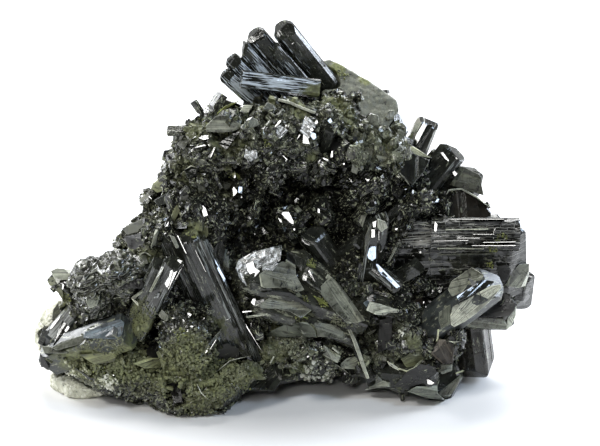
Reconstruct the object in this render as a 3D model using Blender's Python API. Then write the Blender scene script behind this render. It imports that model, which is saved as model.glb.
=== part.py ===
"""Epidote crystal cluster: a jumble of dark green prisms grown on a lumpy mass, with pale rock behind.

Lengths below are in millimetres; the finished objects are in metres, resting on z = 0.
A place is written (x, z, y): x and z as seen from EYE on the upright plane y = 0, then the depth y.
"""

import math
import random

import bmesh
import bpy
from mathutils import Matrix, Vector
from mathutils.bvhtree import BVHTree

EYE = Vector((1.9, -205.7, 76.7))
METRES_PER_MM = 0.001
SEED = 61
GAP = 0.3
BLOCK = 120.0
SMALLEST_ISLAND = 0.5
GROUND = [(Vector((0.0, 0.0, 0.0)), Vector((0.0, 0.0, 1.0)))]
# From the frame that the places are read in to the part's own, whose origin is under its middle.
SHIFT = Vector((0.255, -3.085, 0.0))

BOULDER_FACES = 16
BOULDER_ROUGH = 0.09
DRUSE_ON_CROWN = 56
DRUSE_ON_SLOPES = 54
PRISMS_BEHIND = 8
CROWN_WIDTHS, SLOPE_WIDTHS, BEHIND_WIDTHS = (1.2, 2.2), (1.6, 3.0), (3.0, 4.4)

# Side faces of a prism: direction about its axis, and reach as a share of the full box.
HABITS = {
    "eight": ((90, 1), (270, 1), (0, 1), (180, 1), (50, 0.84), (230, 0.84), (130, 0.8), (310, 0.8)),
    "six": ((90, 1), (270, 1), (25, 0.93), (205, 0.93), (155, 0.9), (335, 0.9)),
    "lath": ((90, 1), (270, 1), (0, 1), (180, 1), (45, 0.86), (225, 0.9)),
    "four": ((90, 1), (270, 1), (12, 1), (192, 1)),
}

# End faces: lean away from the axis, direction of the lean, and where it meets the tip's level.
ENDS = {
    "flat": ((0, 0, 0),),
    "square": ((4, 40, 0), (50, 90, 0.7), (55, 0, 0.8), (50, 180, 0.75)),
    "blunt": ((0, 0, 0), (42, 80, 0.3), (50, 200, 0.5), (38, 320, 0.6)),
    "roof": ((46, 90, 0.05), (50, 270, 0.0), (24, 5, 0.1)),
    "ridge": ((44, 90, 0.0), (48, 270, 0.0)),
    "chisel": ((30, 60, -0.8), (52, 240, 0.75), (40, 330, 0.5)),
    "slant": ((34, 180, -0.9), (45, 0, 0.75)),
    "broken": ((14, 30, -0.5), (30, 200, 0.0), (20, 290, 0.2)),
    "pitted": ((40, 20, -0.25), (30, 150, 0.1), (48, 200, 0.4)),
}

# The cluster's outline as seen from EYE, in x and z; no scattered crystal reaches past it.
OUTLINE = (
    (-32.6, 4.0), (-30.6, 9.0), (-29.6, 11.5), (-30.4, 15.2), (-29.4, 16.0), (-27.0, 15.0),
    (-25.3, 16.8), (-22.4, 17.9), (-21.9, 21.0), (-19.6, 23.4), (-18.2, 25.6), (-17.4, 27.0),
    (-16.0, 28.4), (-15.4, 30.2), (-14.8, 32.4), (-13.2, 34.4), (-11.4, 35.4), (-10.0, 36.0),
    (-10.0, 38.0), (-6.4, 37.8), (-6.0, 39.0), (4.6, 39.6), (5.2, 42.4), (9.0, 40.4), (14.2, 37.6),
    (15.4, 35.0), (15.6, 32.4), (18.6, 30.2), (22.6, 29.4), (25.2, 27.4), (26.6, 23.0),
    (31.4, 20.0), (32.2, 11.0), (30.0, 7.4), (26.8, 6.8), (27.3, 1.4), (23.6, 0.8), (21.4, -2.8),
    (16.0, -1.6), (9.0, -1.2), (7.6, 0.0), (-0.4, 0.2), (-1.4, -1.4), (-6.2, -1.0), (-8.0, -4.2),
    (-13.0, -5.0), (-20.0, -2.8), (-26.0, 0.4), (-31.6, 1.8),
)


def crystal(tip, root, width, thick, turn=0.0, habit="eight", end="blunt"):
    return {"kind": "crystal", "tip": tip, "root": root, "width": width, "thick": thick,
            "turn": turn, "habit": habit, "end": end}


def lump(place, sizes, faces=(), count=BOULDER_FACES):
    """A rounded block at a place, its three half sizes along x, z and y, with chosen flat faces."""
    return {"kind": "lump", "place": place, "sizes": sizes, "faces": faces, "count": count}


def plate(outline, y, facing, depth):
    """A block with this outline as seen from EYE; its front face is at depth y in the middle."""
    return {"kind": "plate", "outline": outline, "y": y, "facing": facing, "depth": depth}


TOP_FAN = [
    crystal((-0.55, 46.6, 1.5), (5.4, 39.2, 5.6), 3.0, 2.6, -20, "eight", "blunt"),
    crystal((-4.1, 45.7, 2.0), (3.0, 37.6, 4.6), 2.8, 2.6, -20, "eight", "blunt"),
    crystal((-2.0, 44.6, 1.0), (3.6, 38.0, 3.4), 2.2, 2.2, -15, "six", "slant"),
    crystal((-5.6, 44.0, 1.6), (0.8, 36.6, 3.8), 2.2, 2.4, -15, "six", "roof"),
    crystal((-6.5, 42.3, 1.2), (-0.3, 36.0, 3.4), 2.2, 2.4, -10, "six", "blunt"),
    crystal((-6.9, 40.0, 0.8), (-1.6, 35.0, 2.8), 2.4, 2.4, 0, "eight", "roof"),
    crystal((-5.6, 39.9, -1.0), (4.5, 38.5, 0.5), 2.2, 2.2, 20, "lath", "slant"),
]

OLIVE_SLAB = [
    plate(((3.9, 40.6), (4.6, 42.5), (5.6, 42.7), (6.9, 42.1), (10.4, 40.1), (14.0, 37.5),
           (14.3, 36.2), (12.6, 33.0), (9.0, 31.6), (6.0, 34.0)), 3.4, (0.12, -0.76, 0.64), 4.2),
]

GLINT_PRISM = [
    crystal((18.0, 35.1, 6.5), (15.1, 27.4, 5.0), 3.0, 2.7, 12, "eight", "square"),
]

UPPER_RIGHT_CRYSTALS = [
    crystal((21.6, 31.5, 2.6), (15.6, 23.4, 2.6), 3.7, 3.5, 15, "eight", "broken"),
    crystal((24.9, 26.8, 4.0), (14.6, 28.2, 4.0), 3.4, 3.4, 35, "eight", "blunt"),
]

RIGHT_PRISM_BUNDLE = [
    crystal((30.9, 18.3, -2.5), (12.0, 17.8, -0.5), 6.6, 6.8, 22, "eight", "blunt"),
    crystal((30.0, 20.1, -5.4), (18.7, 20.2, -5.0), 4.0, 2.4, 12, "lath", "flat"),
    crystal((30.4, 14.9, -1.5), (14.0, 14.6, 0.0), 5.4, 5.6, 15, "eight", "blunt"),
    crystal((29.4, 20.9, 0.2), (18.0, 20.4, 1.0), 2.8, 3.6, 10, "six", "slant"),
    crystal((19.6, 20.2, -3.9), (12.5, 19.8, -1.8), 3.6, 3.0, 10, "lath", "broken"),
    crystal((31.9, 12.9, 3.0), (18.0, 13.6, 3.0), 5.0, 5.0, 20, "eight", "blunt"),
]

LOWER_RIGHT_PRISM = [
    crystal((29.7, 9.9, -1.5), (15.0, 10.4, 0.5), 4.4, 4.4, 35, "eight", "blunt"),
]

MIRROR_CRYSTAL = [
    crystal((26.5, 13.8, -10.0), (18.8, 7.4, -4.6), 4.6, 4.2, -25, "eight", "blunt"),
]

BROWN_PRISM = [
    crystal((24.4, 1.0, 1.0), (22.8, 12.0, 2.0), 5.8, 5.2, 20, "eight", "blunt"),
]

RIGHT_FOOT_CRYSTALS = [
    plate(((15.4, -0.7), (19.2, -2.6), (21.0, -2.9), (22.0, -2.1), (23.4, 0.8), (22.2, 2.8),
           (18.0, 3.4), (14.8, 1.4)), -6.0, (0.22, -0.93, 0.3), 7.0),
    crystal((19.8, 0.4, -8.6), (11.0, 1.2, -5.0), 2.7, 2.7, 30, "six", "blunt"),
]

LONG_FRONT_PRISM = [
    crystal((-13.1, 20.3, -8.5), (-5.2, 1.8, -6.5), 3.6, 3.2, -10, "eight", "blunt"),
    crystal((-15.0, 20.1, -7.8), (-7.8, 2.4, -6.0), 2.0, 2.4, 10, "six", "blunt"),
    crystal((-11.2, 19.7, -8.8), (-4.0, 2.6, -6.4), 1.5, 2.0, -20, "six", "slant"),
]

LEANING_PRISM = [
    crystal((-14.1, 16.8, -12.0), (-19.2, 6.6, -8.5), 2.3, 2.2, -15, "eight", "blunt"),
    crystal((-15.9, 16.9, -11.2), (-20.4, 7.6, -8.0), 1.3, 1.8, 10, "six", "roof"),
]

UNDER_CENTRE_PRISM = [
    crystal((-4.1, 11.0, -9.8), (8.6, 6.4, -5.2), 3.1, 2.8, 12, "eight", "blunt"),
]

CENTRE_PRISM = [
    crystal((-6.0, 15.3, -9.3), (10.0, 9.0, -4.4), 4.8, 4.4, 12, "eight", "pitted"),
    crystal((0.6, 17.5, -6.6), (10.6, 9.8, -3.6), 2.2, 2.6, 15, "six", "chisel"),
    crystal((2.2, 15.0, -8.8), (9.6, 9.4, -5.6), 2.0, 2.0, 20, "lath", "blunt"),
]

CENTRE_BLADE = [
    crystal((11.9, 22.6, -9.0), (10.5, 12.6, -3.6), 2.7, 2.2, 20, "lath", "slant"),
    crystal((14.9, 12.7, -8.4), (9.8, 16.8, -4.6), 1.6, 1.7, 10, "six", "roof"),
]

LEFT_SLAB = [
    crystal((-20.5, 7.0, -10.4), (-30.6, 3.4, -5.4), 4.0, 3.6, 44, "lath", "flat"),
    crystal((-31.2, 5.0, -6.0), (-26.6, 10.4, -3.6), 2.2, 2.0, 20, "six", "roof"),
]

# The massive epidote that holds the prisms together, from lumps that overlap.
CORE = [
    lump((-12.0, 0.4, -6.5), (7.2, 5.4, 7.0)),
    lump((-7.0, 1.2, -8.4), (3.6, 2.2, 4.0)),
    lump((-20.5, 3.0, -4.4), (7.6, 3.8, 6.8)),
    lump((-27.0, 5.2, -1.0), (4.6, 3.2, 5.0)),
    lump((-30.2, 2.9, -3.4), (2.2, 1.2, 2.6)),
    lump((-22.5, 10.2, -2.2), (6.2, 5.6, 6.4)),
    lump((-13.8, 16.2, 1.0), (7.2, 8.2, 8.6)),
    lump((-9.6, 25.8, 2.0), (6.6, 7.2, 8.0)),
    lump((-8.2, 32.0, -1.0), (5.4, 3.8, 6.8)),
    lump((-1.0, 32.8, -2.0), (6.4, 4.3, 7.4)),
    lump((5.6, 33.0, -0.4), (5.2, 4.6, 6.6)),
    lump((11.0, 29.2, 2.0), (5.2, 5.2, 6.8)),
    lump((7.4, 36.4, 7.6), (5.6, 4.4, 4.8)),
    lump((16.6, 21.6, 3.0), (7.4, 4.2, 7.6)),
    lump((1.0, 24.0, 7.0), (10.0, 9.6, 8.0)),
    lump((-3.0, 13.5, 3.0), (9.0, 9.0, 9.6)),
    lump((10.0, 15.0, 3.0), (9.0, 8.0, 8.8)),
    lump((15.6, 5.0, -0.2), (6.6, 6.0, 6.8)),
    lump((2.6, 6.6, 1.0), (8.5, 5.4, 8.4)),
    lump((0.0, 18.0, 9.0), (17.0, 12.6, 7.0)),
    lump((0.6, 5.2, -4.8), (4.2, 3.1, 4.0)),
    lump((-12.6, 5.6, -9.2), (3.9, 4.6, 3.8)),
    lump((-24.2, 13.2, -5.6), (2.8, 3.6, 3.4)),
    lump((-21.4, 14.4, -6.0), (2.4, 3.4, 3.2)),
]

# Smaller crystals and knobs that are intergrown with the mass.
INGROWN = [
    crystal((-29.6, 15.0, -4.0), (-23.8, 9.2, -2.6), 2.6, 2.6, 10, "six", "chisel"),
    crystal((-9.5, 36.8, 2.0), (-4.6, 35.0, 2.5), 2.6, 2.8, 20, "lath", "flat"),
    crystal((14.9, 35.4, 3.0), (11.4, 29.0, 3.0), 2.4, 2.4, 15, "six", "chisel"),
    crystal((11.0, 35.6, -2.6), (9.0, 28.0, -0.5), 1.4, 1.5, 20, "six", "blunt"),
    crystal((12.4, 34.4, -2.8), (11.2, 28.0, -0.5), 1.5, 1.6, 0, "six", "roof"),
    crystal((14.2, 31.8, -3.6), (11.2, 27.6, -1.0), 2.2, 1.4, 25, "lath", "blunt"),
    plate(((13.4, 31.2), (15.1, 32.4), (18.5, 30.2), (18.3, 26.8), (15.6, 25.6), (13.4, 27.6)),
          -0.6, (0.14, -0.96, 0.2), 5.0),
    plate(((19.4, 24.6), (21.0, 26.1), (23.0, 25.9), (25.0, 24.6), (26.4, 22.9), (24.0, 20.6),
           (19.0, 20.6)), -0.6, (0.16, -0.93, 0.32), 6.0),
    crystal((3.0, 34.8, -8.2), (3.6, 30.0, -4.0), 1.8, 1.6, 25, "six", "chisel"),
    crystal((5.8, 34.4, -7.6), (4.6, 30.0, -4.0), 1.5, 1.5, -15, "six", "roof"),
    crystal((-10.6, 33.0, -7.4), (-7.6, 30.0, -3.0), 2.0, 1.6, 15, "lath", "roof"),
    crystal((-9.0, 31.2, -8.2), (-7.6, 27.0, -3.0), 1.5, 1.5, 0, "six", "chisel"),
    crystal((0.3, 23.2, -6.0), (2.5, 17.6, 0.0), 2.2, 2.0, 10, "six", "chisel"),
    crystal((-5.6, 27.8, -6.4), (-5.8, 21.8, -1.0), 1.6, 1.3, 30, "lath", "slant"),
    crystal((4.4, 24.4, -4.6), (5.6, 19.4, 0.6), 1.8, 1.7, 0, "six", "blunt"),
    crystal((9.7, 21.8, -5.6), (13.4, 28.2, -3.4), 1.5, 1.5, 10, "six", "roof"),
    crystal((14.5, 19.4, -7.4), (13.0, 15.4, -5.0), 0.9, 0.9, 0, "four", "slant"),
    crystal((10.3, 11.2, -9.0), (18.0, 8.8, -4.4), 2.2, 2.2, 15, "lath", "blunt"),
    crystal((11.3, 0.1, -7.5), (7.4, 9.0, -5.2), 0.9, 0.9, 10, "four", "flat"),
    crystal((4.9, 5.6, -7.2), (8.2, 2.0, -3.4), 1.7, 1.4, 20, "lath", "flat"),
    crystal((8.8, 3.4, -6.6), (8.4, 0.4, -3.4), 1.9, 1.6, 0, "six", "blunt"),
    crystal((16.4, -0.9, -6.4), (4.6, 4.6, -3.6), 2.2, 2.4, 15, "eight", "blunt"),
    crystal((-6.1, -0.1, -5.6), (4.0, 2.4, -3.6), 2.4, 2.6, 30, "six", "chisel"),
    crystal((-18.1, 25.2, 1.0), (-13.6, 22.6, 2.0), 1.8, 2.0, 0, "six", "chisel"),
    crystal((-15.0, 21.8, -7.0), (-18.2, 17.0, -5.0), 1.6, 1.8, 10, "six", "blunt"),
    crystal((-17.1, 20.6, -6.2), (-16.6, 15.0, -4.4), 2.0, 2.0, 30, "six", "roof"),
    crystal((-20.9, 20.4, 0.0), (-16.6, 15.0, 1.0), 2.2, 2.2, 0, "six", "roof"),
    crystal((-18.0, 16.4, -8.0), (-18.4, 10.0, -4.6), 2.6, 2.4, 20, "eight", "broken"),
    crystal((-16.6, 10.0, -10.2), (-13.6, 13.4, -6.4), 1.6, 1.4, 20, "lath", "flat"),
    crystal((-5.2, 9.7, -8.0), (-0.6, 9.9, -4.4), 0.8, 0.8, 0, "four", "slant"),
    crystal((-4.1, 11.9, -9.0), (-3.8, 9.0, -5.0), 1.2, 1.2, 20, "six", "blunt"),
    crystal((-8.4, 21.6, -6.8), (-9.4, 14.4, -4.6), 2.2, 1.8, 20, "lath", "chisel"),
    crystal((18.4, 24.9, -5.2), (14.0, 22.2, -2.6), 1.9, 1.8, 20, "lath", "blunt"),
    crystal((23.2, 6.6, -7.8), (18.0, 6.0, -4.0), 2.2, 2.2, 15, "six", "broken"),
    crystal((15.8, 7.6, -8.4), (16.4, 1.6, -4.0), 2.6, 2.4, 0, "eight", "broken"),
    crystal((19.4, 5.6, -7.6), (18.8, 1.2, -4.0), 2.6, 2.2, 20, "six", "blunt"),
]

# Hollows: the little cave low in front, and the dark square hole under the crown.
HOLLOWS = [
    lump((-14.5, -1.6, -13.0), (1.3, 1.3, 3.0), (), 9),
    lump((5.4, 31.9, -7.4), (1.3, 1.5, 3.0), (), 9),
]

# Pale granular rock: a crust low on the left, and the back that the cluster grew from.
PALE_MATRIX = [
    lump((-8.0, 12.0, 12.4), (11.6, 10.0, 6.0), (), 24),
    lump((1.0, 17.0, 13.6), (9.0, 8.0, 4.4), (), 20),
    lump((6.4, 9.6, 12.0), (10.5, 8.6, 6.0), (), 24),
    lump((-19.4, 5.4, 7.0), (9.0, 6.4, 6.6), (), 24),
    lump((-25.6, 0.8, -1.0), (5.2, 2.4, 6.2), (), 20),
    lump((-28.6, 6.4, 2.0), (3.8, 4.0, 5.0), (), 20),
    lump((3.6, 2.4, 6.6), (6.4, 3.4, 6.2), (), 20),
]

# Name, pieces, colour, roughness. Earlier ones keep their form where two would meet.
PARTS = [
    ("top_fan_crystals", TOP_FAN, (0.030, 0.036, 0.034), 0.16),
    ("glint_prism", GLINT_PRISM, (0.060, 0.062, 0.056), 0.12),
    ("olive_slab_crystal", OLIVE_SLAB, (0.215, 0.222, 0.160), 0.55),
    ("under_centre_prism", UNDER_CENTRE_PRISM, (0.040, 0.045, 0.036), 0.2),
    ("centre_prism", CENTRE_PRISM, (0.035, 0.040, 0.034), 0.18),
    ("long_front_prism", LONG_FRONT_PRISM, (0.026, 0.032, 0.026), 0.16),
    ("leaning_prism", LEANING_PRISM, (0.032, 0.038, 0.028), 0.18),
    ("centre_blade", CENTRE_BLADE, (0.036, 0.041, 0.036), 0.16),
    ("front_mirror_crystal", MIRROR_CRYSTAL, (0.075, 0.082, 0.075), 0.2),
    ("right_prism_bundle", RIGHT_PRISM_BUNDLE, (0.030, 0.033, 0.026), 0.18),
    ("upper_right_crystals", UPPER_RIGHT_CRYSTALS, (0.036, 0.038, 0.032), 0.2),
    ("lower_right_prism", LOWER_RIGHT_PRISM, (0.034, 0.036, 0.030), 0.2),
    ("right_foot_crystals", RIGHT_FOOT_CRYSTALS, (0.036, 0.036, 0.028), 0.24),
    ("brown_prism", BROWN_PRISM, (0.042, 0.038, 0.028), 0.28),
    ("left_slab_crystals", LEFT_SLAB, (0.070, 0.080, 0.074), 0.3),
]
MASS = ("crystal_mass", (0.062, 0.066, 0.044), 0.35)
MATRIX = ("pale_matrix", (0.560, 0.570, 0.440), 0.85)


def seen(place):
    """The point at depth y on the line of sight through (x, z) of the upright plane."""
    x, z, y = place
    on_plane = Vector((x, 0.0, z))
    return on_plane + (on_plane - EYE) * (y / -EYE.y)


def prism_planes(tip, root, side, face, width, thick, habit, end):
    """Outward planes of a prism from root to tip; side and face are its cross directions."""
    axis = (tip - root).normalized()
    planes = [(root, -axis)]
    for angle, share in HABITS[habit]:
        across, out = math.cos(math.radians(angle)), math.sin(math.radians(angle))
        normal = side * across + face * out
        reach = share * (abs(across) * width + abs(out) * thick) / 2
        planes.append((root + normal * reach, normal))
    for lean, around, meets in ENDS[end]:
        across, out = math.cos(math.radians(around)), math.sin(math.radians(around))
        outward = side * across + face * out
        reach = meets * (abs(across) * width + abs(out) * thick) / 2
        lean = math.radians(lean)
        planes.append((tip + outward * reach, axis * math.cos(lean) + outward * math.sin(lean)))
    return planes


def crystal_planes(spec):
    tip, root = seen(spec["tip"]), seen(spec["root"])
    axis = (tip - root).normalized()
    to_eye = EYE - tip
    face = (to_eye - axis * to_eye.dot(axis)).normalized()
    face = Matrix.Rotation(math.radians(spec["turn"]), 3, axis) @ face
    side = axis.cross(face)
    return prism_planes(tip, root, side, face, spec["width"], spec["thick"],
                        spec["habit"], spec["end"])


def spread(count, rng):
    """Directions spread evenly over a ball, turned and jogged at random."""
    turn = Matrix.Rotation(rng.uniform(0, math.tau), 3, Vector((rng.gauss(0, 1), rng.gauss(0, 1), 1)))
    golden = math.pi * (3 - math.sqrt(5))
    directions = []
    for i in range(count):
        height = 1 - 2 * (i + 0.5) / count
        ring = math.sqrt(1 - height * height)
        way = Vector((ring * math.cos(golden * i), ring * math.sin(golden * i), height))
        way += Vector((rng.uniform(-1, 1), rng.uniform(-1, 1), rng.uniform(-1, 1))) * 0.22
        directions.append((turn @ way).normalized())
    return directions


def lump_planes(spec, rng):
    centre = seen(spec["place"])
    along_x, along_z, along_y = spec["sizes"]

    def plane(normal, share):
        reach = math.sqrt((along_x * normal.x) ** 2 + (along_y * normal.y) ** 2
                          + (along_z * normal.z) ** 2)
        return centre + normal * reach * share, normal

    planes = [plane(Vector(way).normalized(), share) for way, share in spec["faces"]]
    for way in spread(spec["count"], rng):
        if all(way.angle(Vector(other)) > 0.5 for other, _ in spec["faces"]):
            planes.append(plane(way, 1 - rng.uniform(0, BOULDER_ROUGH)))
    return planes


def plate_planes(spec):
    """Front and back faces, and a side through EYE along each edge of the outline."""
    facing = Vector(spec["facing"]).normalized()
    corners = [seen((x, z, spec["y"])) for x, z in spec["outline"]]
    middle = sum(corners, Vector()) / len(corners)
    planes = [(middle, facing), (middle - facing * spec["depth"], -facing)]
    for a, b in zip(corners, corners[1:] + corners[:1]):
        normal = (b - a).cross(EYE - a).normalized()
        if normal.dot(middle - a) > 0:
            normal = -normal
        planes.append((a, normal))
    return planes


def planes_of(spec, rng):
    if spec["kind"] == "lump":
        return lump_planes(spec, rng)
    return plate_planes(spec) if spec["kind"] == "plate" else crystal_planes(spec)


def grown(planes, by):
    return [(point + normal * by, normal) for point, normal in planes]


def convex_mesh(planes):
    """The solid inside all the planes: a block with everything outside each plane cut off."""
    centre = sum((point for point, _ in planes), Vector()) / len(planes)
    body = bmesh.new()
    bmesh.ops.create_cube(body, size=BLOCK, matrix=Matrix.Translation(centre))
    for point, normal in planes:
        everything = body.verts[:] + body.edges[:] + body.faces[:]
        cut = bmesh.ops.bisect_plane(body, geom=everything, dist=1e-6, plane_co=point,
                                     plane_no=normal, clear_outer=True)
        rim = [item for item in cut["geom_cut"] if isinstance(item, bmesh.types.BMEdge)]
        if rim:
            bmesh.ops.contextual_create(body, geom=rim)
    bmesh.ops.recalc_face_normals(body, faces=body.faces[:])
    mesh = bpy.data.meshes.new("solid")
    body.to_mesh(mesh)
    body.free()
    return mesh


def new_object(name, mesh):
    thing = bpy.data.objects.new(name, mesh)
    bpy.context.scene.collection.objects.link(thing)
    return thing


def combine(base, operation, meshes):
    """Applies one Boolean between the base object and all the meshes together."""
    group = bpy.data.collections.new("others")
    others = [bpy.data.objects.new("other", mesh) for mesh in meshes]
    for other in others:
        group.objects.link(other)
    bpy.context.scene.collection.children.link(group)
    modifier = base.modifiers.new("combine", "BOOLEAN")
    modifier.operation = operation
    modifier.solver = "EXACT"
    modifier.operand_type = "COLLECTION"
    modifier.collection = group
    graph = bpy.context.evaluated_depsgraph_get()
    result = bpy.data.meshes.new_from_object(base.evaluated_get(graph))
    base.modifiers.clear()
    base.data = result
    for other in others:
        bpy.data.objects.remove(other)
    bpy.data.collections.remove(group)


def keep_largest(thing):
    """Drops the crumbs that a cut leaves, so that each object is one body."""
    body = bmesh.new()
    body.from_mesh(thing.data)
    left = set(body.faces)
    islands = []
    while left:
        island, queue = [], [left.pop()]
        while queue:
            face = queue.pop()
            island.append(face)
            for edge in face.edges:
                for near in edge.link_faces:
                    if near in left:
                        left.remove(near)
                        queue.append(near)
        islands.append(island)

    def volume(island):
        total = 0.0
        for face in island:
            first = face.verts[0].co
            for a, b in zip(face.verts[1:-1], face.verts[2:]):
                total += first.dot(a.co.cross(b.co)) / 6
        return total

    islands.sort(key=volume)
    for island in islands[:-1]:
        if volume(island) > SMALLEST_ISLAND:
            print(f"{thing.name}: a loose piece of {volume(island):.1f} cubic mm was dropped")
        bmesh.ops.delete(body, geom=island, context="FACES")
    body.to_mesh(thing.data)
    body.free()


def bounds_meet(planes, thing):
    """Whether the solid inside the planes reaches into the object's box."""
    mesh = convex_mesh(planes)
    meet = all(
        min(v.co[i] for v in mesh.vertices) <= max(v.co[i] for v in thing.data.vertices)
        and max(v.co[i] for v in mesh.vertices) >= min(v.co[i] for v in thing.data.vertices)
        for i in range(3)
    )
    bpy.data.meshes.remove(mesh)
    return meet


def make_part(name, solids, taken):
    """One body from the solids together, less the ground and a thin gap round the solids taken."""
    thing = new_object(name, convex_mesh(solids[0]))
    if len(solids) > 1:
        combine(thing, "UNION", [convex_mesh(planes) for planes in solids[1:]])
    cutters = [GROUND] + [grown(planes, GAP) for planes in taken]
    cutters = [planes for planes in cutters if bounds_meet(planes, thing)]
    if cutters:
        combine(thing, "DIFFERENCE", [convex_mesh(planes) for planes in cutters])
    keep_largest(thing)
    return thing


def within_outline(point):
    """Whether the point, seen from EYE, falls inside the outline."""
    ahead = EYE + (point - EYE) * (EYE.y / (EYE.y - point.y))
    crossings = 0
    for (x1, z1), (x2, z2) in zip(OUTLINE, OUTLINE[1:] + OUTLINE[:1]):
        if (z1 > ahead.z) != (z2 > ahead.z):
            crossings += ahead.x < x1 + (ahead.z - z1) / (z2 - z1) * (x2 - x1)
    return crossings % 2 == 1


def inside(point, low, high):
    return all(a <= value <= b for value, a, b in zip(point, low, high))


def random_crystals(rng, tree, count, low, high, widths):
    """Short prisms standing on the mass inside a box, where they stay within the outline."""
    solids = []
    while len(solids) < count:
        start = Vector([rng.uniform(a, b) for a, b in zip(low, high)])
        way = Vector((rng.gauss(0, 1), rng.gauss(-0.3, 1), rng.gauss(0.2, 1))).normalized()
        spot, normal, _, _ = tree.ray_cast(start + way * BLOCK / 2, -way)
        if spot is None or not inside(spot, low, high):
            continue
        sway = Vector((rng.gauss(0, 1), rng.gauss(0, 1), rng.gauss(0, 1))) * 0.55
        axis = (normal + sway).normalized()
        width = rng.uniform(*widths)
        side = Matrix.Rotation(rng.uniform(0, math.tau), 3, axis) @ axis.orthogonal().normalized()
        tip = spot + axis * width * rng.uniform(0.4, 1.0)
        corners = [tip + way * width * share for way in (side, axis.cross(side))
                   for share in (-0.6, 0.6)]
        if not all(within_outline(corner) for corner in corners):
            continue
        solids.append(prism_planes(tip, spot - axis * width * 1.2, side, axis.cross(side), width,
                                   width * rng.uniform(0.6, 1.0), "four",
                                   rng.choice(["ridge", "slant", "flat", "ridge"])))
    return solids


def make_mass(name, rng, taken):
    core = [planes_of(spec, rng) for spec in CORE]
    sketch = new_object("sketch", convex_mesh(core[0]))
    combine(sketch, "UNION", [convex_mesh(planes) for planes in core[1:]])
    body = bmesh.new()
    body.from_mesh(sketch.data)
    tree = BVHTree.FromBMesh(body)
    body.free()
    bpy.data.objects.remove(sketch)
    solids = core + [planes_of(spec, rng) for spec in INGROWN]
    solids += random_crystals(rng, tree, PRISMS_BEHIND, (-16, 8, 14), (18, 20, 36), BEHIND_WIDTHS)
    solids += random_crystals(rng, tree, DRUSE_ON_CROWN, (-16, -12, 26), (16, 12, 40), CROWN_WIDTHS)
    solids += random_crystals(rng, tree, DRUSE_ON_SLOPES, (-32, -16, 4), (26, 18, 30), SLOPE_WIDTHS)
    hollows = [planes_of(spec, rng) for spec in HOLLOWS]
    thing = make_part(name, solids, taken)
    combine(thing, "DIFFERENCE", [convex_mesh(planes) for planes in hollows])
    keep_largest(thing)
    return thing, solids


def paint(thing, colour, roughness):
    material = bpy.data.materials.new(thing.name)
    material.use_nodes = True
    surface = material.node_tree.nodes["Principled BSDF"]
    surface.inputs["Base Color"].default_value = (*colour, 1.0)
    surface.inputs["Roughness"].default_value = roughness
    surface.inputs["Metallic"].default_value = 0.0
    thing.data.materials.clear()
    thing.data.materials.append(material)


def settle(things):
    """Moves the cluster over the origin and turns it to metres."""
    for thing in things:
        thing.data.transform(Matrix.Scale(METRES_PER_MM, 4) @ Matrix.Translation(SHIFT))
    points = [vertex.co / METRES_PER_MM for thing in things for vertex in thing.data.vertices]
    for axis, name in enumerate("xyz"):
        print(name, round(min(point[axis] for point in points), 2), "to",
              round(max(point[axis] for point in points), 2))


def main():
    for thing in list(bpy.data.objects):
        bpy.data.objects.remove(thing)
    rng = random.Random(SEED)
    things, taken = [], []
    for name, specs, colour, roughness in PARTS:
        solids = [planes_of(spec, rng) for spec in specs]
        thing = make_part(name, solids, taken)
        paint(thing, colour, roughness)
        things.append(thing)
        taken += solids
    name, colour, roughness = MASS
    mass, solids = make_mass(name, rng, taken)
    paint(mass, colour, roughness)
    things.append(mass)
    name, colour, roughness = MATRIX
    matrix = make_part(name, [planes_of(spec, rng) for spec in PALE_MATRIX], taken + solids)
    paint(matrix, colour, roughness)
    things.append(matrix)
    settle(things)
    for thing in things:
        thing.data.calc_loop_triangles()
        print(thing.name, len(thing.data.loop_triangles), "triangles")


main()
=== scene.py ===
import math
import random

import bpy
import numpy as np
from mathutils import Matrix, Vector
from mathutils.bvhtree import BVHTree


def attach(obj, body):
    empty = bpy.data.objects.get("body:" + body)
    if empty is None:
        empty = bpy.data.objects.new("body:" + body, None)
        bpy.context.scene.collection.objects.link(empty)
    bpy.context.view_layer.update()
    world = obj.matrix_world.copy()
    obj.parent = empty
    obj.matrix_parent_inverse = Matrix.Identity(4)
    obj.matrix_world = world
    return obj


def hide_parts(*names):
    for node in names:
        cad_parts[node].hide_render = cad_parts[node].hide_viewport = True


# Epidote crystal cluster, dressed: striated glassy prisms, olive rock, druse and pale host rock.
# Pieces are modelled in millimetres, in the frame that their places are read in, and then
# brought to metres in the part's frame. A place is (x, z, y): x and z as seen from the eye
# on the upright plane y = 0, then the depth y.

mm = 0.001
eye = Vector((1.9, -205.7, 76.7))
lookAt = Vector((1.9, 0.0, 21.6))
shift = Vector((0.255, -3.085, 0.0))  # from the reading frame to the part's
toPart = Matrix.Scale(mm, 4) @ Matrix.Translation(shift)
toReading = toPart.inverted()

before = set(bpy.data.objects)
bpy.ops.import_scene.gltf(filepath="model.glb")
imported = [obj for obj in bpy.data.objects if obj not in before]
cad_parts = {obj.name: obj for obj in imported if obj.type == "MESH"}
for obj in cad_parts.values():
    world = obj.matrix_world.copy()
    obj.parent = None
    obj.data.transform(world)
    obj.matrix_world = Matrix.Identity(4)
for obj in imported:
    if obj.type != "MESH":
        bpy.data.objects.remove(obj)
bpy.ops.object.select_all(action="DESELECT")
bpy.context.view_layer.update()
print("frame loaded:", len(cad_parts), "nodes")


def seen(place):
    # the point at depth y on the line of sight through (x, z) of the upright plane
    x, z, y = place
    onPlane = Vector((x, 0.0, z))
    return onPlane + (onPlane - eye) * (y / -eye.y)


def ahead(point):
    # where the line of sight to a point crosses the upright plane
    return eye + (point - eye) * (eye.y / (eye.y - point.y))


floorGap = 0.02  # how far the lowest faces stay above the floor

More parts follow.
